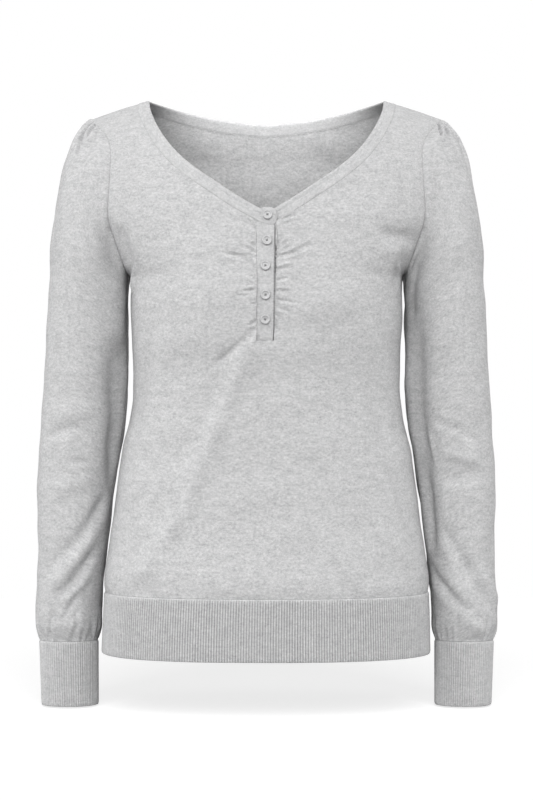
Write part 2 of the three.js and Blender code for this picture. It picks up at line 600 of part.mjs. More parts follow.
function panel(name, side, material) {
  const front = side < 0;
  const right = front ? halfFront(SLIT_RIGHT, NECK.frontLeft) : halfBack(NECK.back);
  const left = front ? halfFront(-SLIT_LEFT, NECK.frontRight) : right;
  const half = right[0].length - 1;
  const grid = right.map((row, i) => {
    const mirrored = left[i].map((p) => turned(-1, p)).reverse();
    return [...(front ? mirrored : mirrored.slice(0, -1)), ...row];
  });
  const last = grid[0].length - 1;
  const lastRow = grid.length - 1;
  const slitColumns = front ? [half, half + 1] : [];
  const folds = BODY_FOLDS.filter((fold) => fold.side === side);
  const flat = normalsOf(grid, false, () => [0, side, 0]);
  const shaped = grid.map((row, i) =>
    row.map((p, j) => {
      const inRows = Math.min(i, lastRow - i);
      const inColumns = Math.min(j, last - j);
      const fromNeck = i > LOW_ROWS && front ? Math.min(Math.abs(j - half), Math.abs(j - half - 1)) : 2;
      const fade = smooth(0, 2, inRows) * smooth(0, 2, inColumns) * smooth(0, 2, fromNeck);
      const blouse = BLOUSE * Math.exp(-(((p[2] - HEM_SEAM_Z - 24) / 20) ** 2));
      const height = fade * (foldHeight(folds, bodyEnds, p[0], p[2]) + blouse);
      return add(p, flat[i][j], height);
    }),
  );
  const normals = normalsOf(shaped, false, () => [0, side, 0]);
  const outer = shaped.map((row) => row.map((p) => [...p]));
  const thick = normals.map((row) => row.map((n) => [...n]));

  const onShoulder = (i, j) => {
    const p = grid[i][j];
    const x = Math.abs(p[0]);
    const rise = (shoulderHeight(x + 1) - shoulderHeight(x - 1)) / 2;
    outer[i][j] = [p[0], side * HALF_GAP, p[2]];
    thick[i][j] = unit([-Math.sign(p[0]) * rise, 0, 1]);
  };
  const onNeck = (i, j, k) => {
    const frame = neckFrame(side, grid[i][j][0] < 0 ? -1 : 1, k);
    outer[i][j] = add(outer[i][j], frame.g, -HALF_GAP);
    thick[i][j] = frame.n;
  };
  const onSideSeam = (i, j, hand) => {
    const z = ROWS_BELOW[i];
    const levels = [ROWS_BELOW[Math.max(0, i - 1)], ROWS_BELOW[Math.min(LOW_ROWS, i + 1)]];
    const widths = levels.map(widthAt);
    const slope = (widths[1] - widths[0]) / (levels[1] - levels[0]);
    outer[i][j] = [hand * widthAt(z), side * HALF_GAP, z];
    thick[i][j] = unit([hand, 0, -slope]);
  };
  const onArmhole = (i, j, hand) => {
    const step = i - LOW_ROWS;
    const seam = armholeFrame(side, step);
    const bend = 1 - smooth(0, 5, step);
    const off = step === 0 || step === ARM_STEPS ? side * HALF_GAP : 0;
    outer[i][j] = add(turned(hand, add(seam.p, seam.g, -HALF_GAP)), [0, off, 0]);
    thick[i][j] = unit(add(turned(hand, seam.n), [hand, 0, 0], bend));
  };

  outer.forEach((row, i) => {
    if (front && i >= SLIT_ROW && i <= LOW_ROWS + 1) {
      const lap = LAP * smooth(SLIT_ROW - 0.01, SLIT_ROW + 1, i);
      row[half + 1] = add(row[half + 1], normals[i][half + 1], -lap);
    }
    if (front && i === lastRow) row.forEach((_, j) => onShoulder(i, j));
    [0, last].forEach((j) => {
      const hand = j === 0 ? -1 : 1;
      if (i < LOW_ROWS) onSideSeam(i, j, hand);
      if (i >= LOW_ROWS && i <= LOW_ROWS + ARM_STEPS) onArmhole(i, j, hand);
      if (i > LOW_ROWS + ARM_STEPS) onShoulder(i, j);
    });
    if (i > LOW_ROWS) slitColumns.forEach((j) => onNeck(i, j, i - LOW_ROWS - 1));
    if (!front && i === lastRow) row.forEach((_, j) => onNeck(i, j, Math.abs(j - half)));
  });
  outer[0] = outer[0].map((p) => [p[0], p[1], HEM_SEAM_Z + HALF_GAP]);
  thick[0] = thick[0].map((n) => unit([n[0], n[1], 0]));
  const inner = outer.map((row, i) => row.map((p, j) => add(p, thick[i][j], -CLOTH)));
  const cloth = (i, j) => !front || i < SLIT_ROW || j !== half;
  return wall(name, outer, inner, material, false, cloth);
}

// Frame of the seam between panel and neckband: n out of the cloth, g from the panel to the band.
function neckFrame(side, hand, k) {
  const pairs = side > 0 ? NECK.back : hand < 0 ? NECK.frontRight : NECK.frontLeft;
  const { low, high } = pairs[k];
  const last = pairs.length - 1;
  let n = bodyNormal(side, low[0], low[2]);
  if (k === last) {
    const rise = (shoulderHeight(low[0] + 1) - shoulderHeight(low[0] - 1)) / 2;
    n = unit([-rise, 0, 1]);
  }
  let g = minus(high, low);
  g = unit(minus(g, times(n, dot(g, n))));
  return { n: turned(hand, n), g: turned(hand, g), low: turned(hand, low) };
}

// ---- sleeves -----------------------------------------------------------------------------------
const SLEEVE_ROWS = numbered(SLEEVE);
const round = (angle, f) => Math.sign(f(angle)) * Math.pow(Math.abs(f(angle)), 2 / SLEEVE_SQUARENESS);

// Oval ring s of the sleeve's table at a share f of the way from underarm to outside.
function ringAt(s, side, f) {
  const v = Object.fromEntries(
    ["outX", "outZ", "inX", "inZ", "y", "deep"].map((c) => [c, along(SLEEVE_ROWS, "index", c, s)]),
  );
  const inwards = round(Math.PI * f, Math.cos);
  const deep = round(Math.PI * f, Math.sin);
  const x = (v.outX + v.inX) / 2 - (inwards * (v.outX - v.inX)) / 2;
  const z = (v.outZ + v.inZ) / 2 - (inwards * (v.outZ - v.inZ)) / 2;
  const y = s < 0.001 && (f === 0 || f === 1) ? 0 : v.y * smooth(0, 3, s) + side * deep * v.deep;
  return [x, y, z];
}

const SLEEVE_POINTS = 2 * ARM_STEPS;

function sleeve(name, hand, material) {
  const step = (j) => (j <= ARM_STEPS ? j : SLEEVE_POINTS - j);
  const sideOf = (j) => (j <= ARM_STEPS ? -1 : 1);
  const shares = [-1, 1].map((side) => {
    const line = armholeOf(side);
    const reach = [0];
    for (let i = 1; i < line.length; i += 1) reach.push(reach[i - 1] + Math.hypot(...minus(line[i], line[i - 1])));
    return reach.map((d) => d / reach[ARM_STEPS]);
  });
  const ends = (fold) => [fold.round1 * 0.8, fold.z1, fold.round2 * 0.8, fold.z2];
  const folds = SLEEVE_FOLDS.filter((fold) => fold.side === hand);
  const plain = RINGS.map((s) =>
    Array.from({ length: SLEEVE_POINTS }, (_, j) => {
      const own = shares[sideOf(j) < 0 ? 0 : 1][step(j)];
      const f = mix(own, step(j) / ARM_STEPS, smooth(0, 9, s));
      const off = minus(armholeOf(sideOf(j))[step(j)], ringAt(0, sideOf(j), own));
      return add(ringAt(s, sideOf(j), f), off, 1 - smooth(0, TIP_FADE, s));
    }),
  );
  const middles = plain.map((ring) => times(ring.reduce((a, b) => add(a, b)), 1 / SLEEVE_POINTS));
  const away = (p, i) => minus(p, middles[i]);
  const flat = normalsOf(plain, true, away);
  const shaped = plain.map((ring, i) =>
    ring.map((p, j) => {
      const fromTip = ARM_STEPS - step(j);
      const ridge = fromTip % 2 === 0 ? 1 : -1;
      const cap = smooth(0, 0.6, RINGS[i]) * (1 - smooth(1.5, GATHER_END, RINGS[i]));
      const gather = fromTip <= ARMHOLE_FINE ? GATHER * ridge * cap : 0;
      const turn = (sideOf(j) < 0 ? step(j) : SLEEVE_POINTS - step(j)) * (180 / ARM_STEPS);
      const inside = smooth(30, 60, turn) * (1 - smooth(300, 330, turn));
      const ring0 = smooth(0, 3, RINGS[i]) * (1 - smooth(16.8, 18, RINGS[i]));
      const height = foldHeight(folds, ends, turn * 0.8, p[2]) * inside * ring0;
      return add(p, flat[i][j], gather + height);
    }),
  );
  const thick = normalsOf(shaped, true, away);
  shaped[0] = shaped[0].map((p, j) => {
    const seam = armholeFrame(sideOf(j), step(j));
    const bend = 1 - smooth(0, 5, step(j));
    thick[0][j] = unit(add(seam.n, [-1, 0, 0], bend));
    return add(seam.p, seam.g, HALF_GAP);
  });
  const end = RINGS.length - 1;
  shaped[end] = shaped[end].map((p) => [p[0], p[1], CUFF_TOP_Z + HALF_GAP]);
  thick[end] = thick[end].map((n) => unit([n[0], n[1], 0]));
  const inner = shaped.map((ring, i) => ring.map((p, j) => add(p, thick[i][j], -CLOTH)));
  const placed = (rings) => rings.map((ring) => ring.map((p) => turned(hand, p)));
  return wall(name, placed(shaped), placed(inner), material, true);
}

// ---- ribbed bands ------------------------------------------------------------------------------
// Even steps round a closed outline given by a function of the angle.
function evenly(outline, count) {
  const fine = 1440;
  const line = Array.from({ length: fine + 1 }, (_, i) => outline((2 * Math.PI * i) / fine));
  return pick(line, (total) => Array.from({ length: count }, (_, i) => (total * i) / count));
}

function outwards(points, i) {
  const count = points.length;
  const t = minus(points[(i + 1) % count], points[(i + count - 1) % count]);
  return unit([t[1], -t[0], 0]);
}

// Tube of vertical ribs between two outlines: a zigzag outside, plain inside.
function ribbed(name, top, bottom, ribs, innerCount, material) {
  const levels = [top, bottom].map((outline) => {
    const line = evenly(outline, 2 * ribs);
    const outer = line.map((p, i) => add(p, outwards(line, i), i % 2 === 0 ? RIB_RAISE : 0));
    const inside = evenly(outline, innerCount);
    return { outer, inner: inside.map((p, i) => add(p, outwards(inside, i), -RIB_INSIDE)) };
  });
  const count = 2 * ribs;
  const points = [...levels[0].outer, ...levels[1].outer, ...levels[0].inner, ...levels[1].inner];
  const innerStart = 2 * count;
  const faces = [];
  for (let i = 0; i < count; i += 1) {
    const next = (i + 1) % count;
    faces.push([i, next, count + next], [i, count + next, count + i]);
  }
  for (let i = 0; i < innerCount; i += 1) {
    const next = (i + 1) % innerCount;
    const [a, b] = [innerStart + i, innerStart + next];
    faces.push([a, b + innerCount, b], [a, a + innerCount, b + innerCount]);
  }
  [0, 1].forEach((level) => {
    const outside = (i) => level * count + (i % count);
    const inside = (i) => innerStart + level * innerCount + (i % innerCount);
    const face = (a, b, c) => faces.push(level === 0 ? [a, b, c] : [a, c, b]);
    let used = 0;
    for (let i = 0; i < count; i += 1) {
      face(outside(i + 1), outside(i), inside(used));
      while (used < innerCount && (used + 0.5) / innerCount < (i + 1) / count) {
        face(outside(i + 1), inside(used), inside(used + 1));
        used += 1;
      }
    }
  });
  return meshOf(name, points, faces, material);
}

function bodyOutline(z, level) {
  return (angle) => {
    const side = Math.sin(angle) < 0 ? -1 : 1;
    const out = Math.sign(Math.cos(angle)) * Math.pow(Math.abs(Math.cos(angle)), 2 / SQUARENESS);
    const deep = Math.pow(Math.abs(Math.sin(angle)), 2 / SQUARENESS);
    return [out * widthAt(z), side * deep * depthOf(side, z), level];
  };
}

function sleeveOutline(middle, y, half, deep, level) {
  return (angle) => [middle + round(angle, Math.cos) * half, y + round(angle, Math.sin) * deep, level];
}

function cuff(name, hand, material) {
  const end = SLEEVE[SLEEVE.length - 1];
  const middle = (end.outX + end.inX) / 2;
  const half = (end.outX - end.inX) / 2;
  const top = sleeveOutline(hand * middle, end.y, half - RIB_RAISE / 2, end.deep - RIB_RAISE / 2, CUFF_TOP_Z - HALF_GAP);
  const bottom = sleeveOutline(hand * CUFF.middle, CUFF.y, CUFF.half, CUFF.deep, CUFF_BOTTOM_Z);
  return ribbed(name, top, bottom, CUFF_RIBS, CUFF_INNER_POINTS, material);
}

// ---- neckband ----------------------------------------------------------------------------------
// Across the band from seam to edge: share of the width, height outside and inside the panel's surface.
const BAND_SECTION = [
  { share: 0, outside: BAND_RAISE - 0.1, inside: BAND_RAISE - BAND_LAYERS },
  { share: 0.5, outside: BAND_RAISE, inside: BAND_RAISE - BAND_LAYERS },
  { share: 0.92, outside: BAND_RAISE, inside: BAND_RAISE - BAND_LAYERS },
  { share: 1, outside: -0.3, inside: 0.4 - BAND_LAYERS },
];

function neckband(name, material) {
  const stations = [];
  const place = (low, high, n, lift) => stations.push({ low: add(low, n, lift), high: add(high, n, lift), n });
  const seated = (side, hand, k, lift = 0) => {
    const pairs = side > 0 ? NECK.back : hand < 0 ? NECK.frontRight : NECK.frontLeft;
    const frame = neckFrame(side, hand, k);
    const high = [hand * pairs[k].high[0], pairs[k].high[1], pairs[k].high[2]];
    place(add(frame.low, frame.g, HALF_GAP), high, frame.n, lift);
  };
  const lapped = (row) => {
    const low = bodyAt(-1, row.lowX, row.lowZ);
    const high = bodyAt(-1, row.highX, row.highZ);
    place(low, high, bodyNormal(-1, Math.max(1, row.lowX), row.lowZ), row.lift);
  };
  [...BAND_TAB].reverse().forEach(lapped);
  for (let k = 0; k <= FRONT_NECK_STEPS; k += 1) seated(-1, -1, k);
  for (let k = BACK_NECK_STEPS - 1; k >= 0; k -= 1) seated(1, -1, k);
  for (let k = 1; k < BACK_NECK_STEPS; k += 1) seated(1, 1, k);
  for (let k = FRONT_NECK_STEPS; k >= 0; k -= 1) seated(-1, 1, k, k === 0 ? -LAP : 0);
  BAND_UNDER.forEach(lapped);
  const line = (column) =>
    stations.map((station) =>
      BAND_SECTION.map((row) => add(mixed(station.low, station.high, row.share), station.n, row[column])),
    );
  return wall(name, line("outside"), line("inside"), material);
}

// ---- placket -----------------------------------------------------------------------------------
function placketUpper(name, material) {
  const steps = 12;
  const columns = 3;
  const bottom = ROWS_BELOW[SLIT_ROW] + SEAM_GAP;
  const grid = Array.from({ length: steps + 1 }, (_, i) =>
    Array.from({ length: columns + 1 }, (_, j) => {
      const right = mix(PLACKET_BOTTOM_RIGHT, PLACKET_TOP_RIGHT, i / steps);
      const x = mix(SLIT_LEFT + SEAM_GAP, right, j / columns);
      const top = mix(PLACKET_TOP_LEFT_Z, PLACKET_TOP_RIGHT_Z, j / columns);
      return bodyAt(-1, x, mix(bottom, top, i / steps));
    }),
  );
  const normals = normalsOf(grid, false, () => [0, -1, 0]);
  const shift = (out) => grid.map((row, i) => row.map((p, j) => add(p, normals[i][j], out)));
  return wall(name, shift(PLACKET_RAISE), shift(PLACKET_RAISE - PLACKET_LAYERS), material);
}

function placketUnder(name, material) {
  const steps = 10;
  const grid = Array.from({ length: steps + 1 }, (_, i) =>
    [UNDER_LEFT, 0, SLIT_RIGHT - SEAM_GAP].map((x) => bodyAt(-1, x, mix(UNDER_BOTTOM_Z, UNDER_TOP_Z, i / steps))),
  );
  const normals = normalsOf(grid, false, () => [0, -1, 0]);
  const shift = (out) => grid.map((row, i) => row.map((p, j) => add(p, normals[i][j], out)));
  return wall(name, shift(-LAP), shift(-LAP - CLOTH), material);
}

// ---- buttons -----------------------------------------------------------------------------------
function button(name, row, material) {
  const foot = bodyAt(-1, row.x, row.z);
  const n = bodyNormal(-1, Math.max(1, Math.abs(row.x)), row.z);
  const profile = [
    [0, 0],
    [BUTTON_RADIUS - 0.7, 0],
    [BUTTON_RADIUS, 0.8],
    [BUTTON_RADIUS - 0.3, BUTTON_HEIGHT - 0.3],
    [BUTTON_RADIUS - BUTTON_RIM / 2, BUTTON_HEIGHT],
    [BUTTON_RADIUS - BUTTON_RIM, BUTTON_HEIGHT - 0.2],
    [BUTTON_RADIUS - BUTTON_RIM - 0.6, BUTTON_HEIGHT - BUTTON_DISH],
    [0, BUTTON_HEIGHT - BUTTON_DISH],
  ];
  const geometry = new THREE.LatheGeometry(
    profile.map(([r, h]) => new THREE.Vector2(r, h)),
    BUTTON_SIDES,
  );
  const turn = new THREE.Quaternion().setFromUnitVectors(new THREE.Vector3(0, 1, 0), new THREE.Vector3(...n));
  const base = add(foot, n, PLACKET_RAISE + SEAM_GAP + row.lift);
  geometry.applyQuaternion(turn).translate(...base);
  const mesh = new THREE.Mesh(geometry, material);
  mesh.name = name;
  return mesh;
}

// ---- materials and pieces ----------------------------------------------------------------------
const cloth = (colour) => new THREE.MeshStandardMaterial({ color: colour, roughness: 0.95, metalness: 0 });
const plastic = (colour) => new THREE.MeshStandardMaterial({ color: colour, roughness: 0.55, metalness: 0 });

const group = new THREE.Group();
group.add(panel("front", -1, cloth("#d2d2d4")));
group.add(panel("back", 1, cloth("#cfcfd1")));
group.add(sleeve("sleeve_left", 1, cloth("#cbcbcd")));
group.add(sleeve("sleeve_right", -1, cloth("#cbcbcd")));
group.add(cuff("cuff_left", 1, cloth("#bdbdbf")));
group.add(cuff("cuff_right", -1, cloth("#bdbdbf")));
group.add(
  ribbed(
    "hem_band",
    bodyOutline(HEM_SEAM_Z, HEM_SEAM_Z - HALF_GAP),
    bodyOutline(HEM_BOTTOM_Z, HEM_BOTTOM_Z),
    HEM_RIBS,
    HEM_INNER_POINTS,
    cloth("#bababc"),
  ),
);
group.add(neckband("neckband", cloth("#d4d4d6")));
group.add(placketUpper("placket_upper", cloth("#d4d4d6")));
group.add(placketUnder("placket_under", cloth("#b9b9bb")));
BUTTONS.forEach((row, i) => group.add(button(`button_${i + 1}`, row, plastic("#c4c4c6"))));

export default group;
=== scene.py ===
import bpy
import numpy as np
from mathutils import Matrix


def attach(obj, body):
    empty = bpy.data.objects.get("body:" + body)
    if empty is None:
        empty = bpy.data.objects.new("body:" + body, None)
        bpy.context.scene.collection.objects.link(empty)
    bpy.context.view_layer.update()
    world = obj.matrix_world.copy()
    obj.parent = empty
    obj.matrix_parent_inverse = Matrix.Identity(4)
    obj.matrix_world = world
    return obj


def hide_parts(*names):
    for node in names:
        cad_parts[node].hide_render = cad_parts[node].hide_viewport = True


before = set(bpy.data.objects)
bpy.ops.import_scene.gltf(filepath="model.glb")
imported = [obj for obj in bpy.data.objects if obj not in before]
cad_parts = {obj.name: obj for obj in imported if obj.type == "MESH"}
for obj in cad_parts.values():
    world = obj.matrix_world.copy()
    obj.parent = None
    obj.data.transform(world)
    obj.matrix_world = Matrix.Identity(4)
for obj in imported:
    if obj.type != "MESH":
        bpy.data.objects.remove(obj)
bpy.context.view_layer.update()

MM = 0.001
SIDE_NAMES = {-1: "front", 1: "back"}

# ---- sizes shared with the solids ----
CLOTH = 1.3  # thickness of the jersey
RIB_CLOTH = 1.5  # thickness between two ribs
RIB_HEIGHT = 0.95
SQUARENESS = 2.4  # of the body's outline: 2 is an ellipse
NECK_HALF = 124.0
NECK_SOFT = 20.0
SHOULDER_SLOPE = 0.27
SHOULDER_CURVE = 0.0008
FRONT_ROUND = 170.0  # how far down the cloth curves over from the shoulder
BACK_ROUND = 100.0
CHEST_Z = -190.0  # where the armholes start
HEM_SEAM_Z = -519.0
HEM_BOTTOM_Z = -583.0

BODY_COLUMNS = ("z", "half", "front", "back")
BODY = np.array([
    (-600, 173.5, 111, 111),
    (-583, 173, 111, 111),
    (-519, 170.5, 110, 108),
    (-486, 167.5, 108, 104),
    (-423, 160, 103, 95),
    (-369, 152, 100, 88),
    (-335, 144, 102, 85),
    (-308, 140.5, 104, 86),
    (-250, 142, 110, 94),
    (-213, 143, 111, 99),
    (-190, 144, 110, 101),
    (-176, 152, 108, 102),
    (-150, 164, 105, 102),
    (-121, 177.5, 100, 101),
    (-92, 180, 97, 98),
    (-60, 181, 93, 94),
    (-45, 184, 90, 90),
    (-20, 195, 84, 84),
    (0, 200, 80, 82),
    (40, 210, 66, 66),
], float)

ARMHOLE_COLUMNS = ("z", "front", "back")
ARMHOLE = np.array([
    (-190, 144, 144),
    (-176, 149.5, 150),
    (-150, 158.5, 160),
    (-134, 163.5, 166),
    (-121, 165, 168),
    (-92, 163.5, 168.5),
    (-60, 162.5, 169),
    (-45, 165.5, 171.5),
    (-28, 178, 179.5),
    (-19.4, 184.5, 184.5),
], float)

NECK_COLUMNS = ("z", "x")
NECK_FRONT = np.array([
    (-124, 2),
    (-119.6, 11),
    (-107.4, 31.5),
    (-94.7, 50),
    (-81.8, 68.5),
    (-68.3, 85),
    (-54.2, 98.3),
    (-39.8, 108.6),
    (-24.8, 116.8),
    (-10.5, 122.2),
    (-0.4, 124),
], float)
NECK_BACK_DEPTH = 74.0
NECK_BACK_POWER = 1.6
BAND_WIDTH = 13.0
SLIT_LEFT = -10.0
SLIT_RIGHT = 8.7
SLIT_TOP_Z = -141.0
SLIT_END_Z = -257.0
SLIT_LEAN = 1.2  # how far the right edge of the slit comes in towards its lower end
LAP = 2.5  # how deep one layer of the placket lies under the other
MIDDLE_GAP = 60.0  # stands for the distance to a seam at points between the two halves of the front
SEAM_GAP = 0.03  # between two sewn pieces

SLEEVE_SQUARENESS = 2.15
CUFF_TOP_Z = -571.0
CUFF_BOTTOM_Z = -639.5
CUFF_MIDDLE, CUFF_HALF, CUFF_DEEP, CUFF_Y = 208.6, 29.4, 26.0, 5.0  # at the free edge
CUFF_INSET = 0.3  # of its top, within the end of the sleeve
AXIS = np.array([0.94, 0.0, -0.34])  # out of the armhole
TIP_FADE = 6.0  # rings over which the armhole's outline turns into the sleeve's
SLEEVE_COLUMNS = ("ring", "outX", "outZ", "inX", "inZ", "y", "deep")
SLEEVE = np.array([
    (0, 184.5, -19.4, 144, -190, 3, 52),
    (1, 192.5, -24.5, 144.8, -193, 3, 53),
    (2, 204, -38.5, 145.6, -197, 4, 54),
    (3, 214, -64, 146.2, -202, 4, 54),
    (4, 220.5, -92, 146.8, -208, 5, 54),
    (5, 225, -126, 147, -215, 5, 54),
    (6, 229, -172, 147.2, -224, 6, 53),
    (7, 232, -215, 147.2, -240, 6, 52),
    (8, 234.5, -262, 147, -268, 7, 51),
    (9, 236.8, -300, 147.2, -300, 8, 50),
    (10, 239, -334, 149.4, -334, 9, 48),
    (11, 241.4, -372, 155.5, -372, 10, 46),
    (12, 243.5, -412, 161.5, -412, 11, 44),
    (13, 243.3, -448, 166.5, -448, 11, 42),
    (14, 242, -478, 170, -478, 10, 40),
    (15, 243, -508, 173, -508, 9, 39),
    (16, 245.4, -536, 175, -536, 8, 38),
    (17, 245.6, -554, 175.6, -554, 7, 36),
    (18, 240.8, -571, 179, -571, 5, 28),
], float)
ARM_WIDE, ARM_FINE = 7, 6  # wide and fine steps up half of an armhole
FINE_STEP = 6.5
HEM_RIBS = 340
CUFF_RIBS = 73


# ---- small helpers ----
def smooth(a, b, v):
    t = np.clip((np.asarray(v, float) - a) / (b - a), 0, 1)
    return t * t * (3 - 2 * t)


def unit(v):
    return v / np.maximum(np.linalg.norm(v, axis=-1, keepdims=True), 1e-12)


def mix(a, b, t):
    return a + (b - a) * t


# Arrays of any matching shapes as the last axis of one array, such as x, y and z of points.
def joined(*parts):
    return np.stack(np.broadcast_arrays(*parts), axis=-1)


# Smooth value of the column name of a table at values of its first column, which rises from row to row.
def along(table, columns, name, at):
    xs, ys = table[:, 0], table[:, columns.index(name)]
    v = np.clip(at, xs[0], xs[-1])
    i = np.clip(np.searchsorted(xs, v, side="left") - 1, 0, len(xs) - 2)
    slope = np.diff(ys) / np.diff(xs)
    tangent = np.empty(len(xs))
    tangent[0], tangent[-1] = slope[0], slope[-1]
    before, after = slope[:-1], slope[1:]
    total = np.where(before + after == 0, 1, before + after)
    tangent[1:-1] = np.where(before * after <= 0, 0, 2 * before * after / total)
    span = xs[i + 1] - xs[i]
    t = (v - xs[i]) / span
    rise = (1 + 2 * t) * (1 - t) ** 2
    return (
        ys[i] * rise
        + ys[i + 1] * (1 - rise)
        + t * (1 - t) ** 2 * span * tangent[i]
        - t * t * (1 - t) * span * tangent[i + 1]
    )


# Length of a line from its start up to each of its points.
def lengths(line):
    return np.concatenate([[0], np.cumsum(np.linalg.norm(np.diff(line, axis=0), axis=1))])


# Points of a dense line at shares (0 to 1) of its length.
def pick(line, shares):
    reach = lengths(line)
    return joined(*(np.interp(np.asarray(shares) * reach[-1], reach, line[:, c]) for c in range(3)))


# Shares from 0 to 1 in even steps, with finer steps (fine, in millimetres) at the ends that lie at a seam.
def spread(count, length, start=True, fine=(0, 0.6, 1.4, 2.4, 3.8)):
    near = np.array(fine) / length
    inner = np.linspace(near[-1] if start else 0, 1 - near[-1], count)
    return np.concatenate([near[:-1]] * start + [inner, 1 - near[:-1][::-1]])


# Places from 0 on, reached by runs of even steps: pairs of where a run ends and the size of its steps.
def runs(*pairs):
    at = [0.0]
    for end, step in pairs:
        at.extend(np.linspace(at[-1], end, max(1, round((end - at[-1]) / step)) + 1)[1:])
    return np.array(at)


# ---- surface of the body ----
def width_at(z):
    return along(BODY, BODY_COLUMNS, "half", z)


def depth_of(side, z):
    return along(BODY, BODY_COLUMNS, SIDE_NAMES[side], z)


def shoulder_height(x):
    out = np.hypot(x, NECK_SOFT) - NECK_HALF
    return -SHOULDER_SLOPE * out - SHOULDER_CURVE * out * np.abs(out)


def reach_of(side):
    return FRONT_ROUND if side < 0 else BACK_ROUND


# Points of the body's surface over x and z: side is -1 for the front and 1 for the back.
def body_at(side, x, z):
    share = np.clip(np.abs(x) / width_at(z), 0, 1)
    fall = np.clip((shoulder_height(x) - z) / reach_of(side), 0, 1)
    full = np.sqrt(np.clip(1 - (1 - fall) ** 2, 0, 1))
    deep = (1 - share**SQUARENESS) ** (1 / SQUARENESS)
    return joined(x, side * depth_of(side, z) * deep * full, z)


# The same from the turn round the body and the drop down the cloth from the shoulder.
def body_turned(side, turn, drop):
    turn, drop = np.broadcast_arrays(turn, drop)
    swing = drop / reach_of(side)
    bent = np.minimum(swing, np.pi / 2)
    fall = np.where(swing < np.pi / 2, 1 - np.cos(bent), 1 + swing - np.pi / 2)
    out = np.abs(np.sin(turn)) ** (2 / SQUARENESS) * np.sign(turn)
    x = np.zeros_like(turn)
    for _ in range(12):
        z = shoulder_height(x) - reach_of(side) * fall
        x = out * width_at(z)
    full = np.where(swing < np.pi / 2, np.sin(bent), 1)
    deep = np.abs(np.cos(turn)) ** (2 / SQUARENESS)
    return joined(x, side * depth_of(side, z) * deep * full, z)


# Turn round the body and drop down the cloth of points on its surface.
def place(side, p):
    x, z = p[..., 0], p[..., 2]
    share = np.clip(np.abs(x) / width_at(z), 0, 1)
    turn = np.sign(x) * np.arcsin(share ** (SQUARENESS / 2))
    fall = np.maximum(0, (shoulder_height(x) - z) / reach_of(side))
    swing = np.where(fall < 1, np.arccos(np.clip(1 - fall, -1, 1)), fall - 1 + np.pi / 2)
    return joined(turn, reach_of(side) * swing)


def body_normal(side, p):
    at = place(side, p)
    turn, drop = at[..., 0], at[..., 1]
    down = body_turned(side, turn, drop + 0.5) - body_turned(side, turn, np.maximum(0, drop - 0.5))
    across = body_turned(side, turn + 0.004, drop) - body_turned(side, turn - 0.004, drop)
    n = unit(np.cross(down, across))
    return np.where(n[..., 1:2] * side < 0, -n, n)


# ---- lines on the body ----
def armhole_line(side):
    t = np.linspace(0, 1, 801)
    z = mix(CHEST_Z, ARMHOLE[-1, 0], 1 - (1 - t) ** 2)
    line = body_at(side, along(ARMHOLE, ARMHOLE_COLUMNS, SIDE_NAMES[side], z), z)
    line[0, 1] = line[-1, 1] = 0
    return line


ARM_LINE = {-1: armhole_line(-1), 1: armhole_line(1)}


# The sleeve's edge: points at shares of the armhole seam's length, a seam's gap towards the sleeve.
def sleeve_edge(side, shares):
    line = ARM_LINE[side]
    step = 2.0 / lengths(line)[-1]
    t = unit(pick(line, np.minimum(1, shares + step)) - pick(line, np.maximum(0, shares - step)))
    return pick(line, shares) + unit(AXIS - t * (t @ AXIS)[:, None]) * SEAM_GAP


# Points of the back's surface over x and y, near the neck.
def back_at(x, y):
    low = np.zeros_like(x)
    high = np.full_like(x, BACK_ROUND * np.pi / 2)

    def fallen(drop):
        return body_at(1, x, shoulder_height(x) - BACK_ROUND * (1 - np.cos(drop / BACK_ROUND)))

    for _ in range(40):
        middle = (low + high) / 2
        short = fallen(middle)[..., 1] < y
        low, high = np.where(short, middle, low), np.where(short, high, middle)
    return fallen(low)


# Edge of the neck and the seam of its band, from the middle to the shoulder on the wearer's left.
def neck_lines(side):
    t = np.linspace(0, 1, 401)
    if side < 0:
        z = mix(NECK_FRONT[0, 0], NECK_FRONT[-1, 0], t)
        edge = body_at(side, along(NECK_FRONT, NECK_COLUMNS, "x", z), z)
    else:
        share = np.sin(t * np.pi / 2)
        depth = NECK_BACK_DEPTH * (1 - share**NECK_BACK_POWER) ** (1 / NECK_BACK_POWER)
        edge = back_at(share * NECK_HALF, depth)
    edge[-1] = (NECK_HALF, 0, shoulder_height(NECK_HALF))
    way = unit(np.gradient(edge, axis=0))
    at = edge.copy()
    for _ in range(4):
        g = unit(np.cross(way, body_normal(side, at)))
        ahead = at + np.where(g[:, :1] < 0, -g, g) * BAND_WIDTH / 4
        if side > 0:
            at = back_at(ahead[:, 0], np.maximum(0, ahead[:, 1]))
        else:
            at = body_at(side, ahead[:, 0], np.minimum(ahead[:, 2], shoulder_height(ahead[:, 0])))
    run = BAND_WIDTH / np.hypot(1, SHOULDER_SLOPE)
    at[-1] = (NECK_HALF + run, 0, shoulder_height(NECK_HALF + run))
    return edge, at


# Pairs of band seam (low) and neck edge (high) points at shares of the seam's length, from start_x on.
def neck_pairs(side, start_x, shares):
    edge, seam = neck_lines(side)
    kept = seam[:, 0] >= start_x
    edge, seam = edge[kept], seam[kept]
    if side < 0:
        seam[0] = body_at(side, start_x, seam[0, 2])
    else:
        edge[0, 0] = 0
        seam[0] = back_at(np.zeros(1), np.maximum(0, seam[:1, 1]))[0]
    reach = lengths(seam)
    at = np.asarray(shares) * reach[-1]
    return [joined(*(np.interp(at, reach, line[:, c]) for c in range(3))) for line in (seam, edge)]


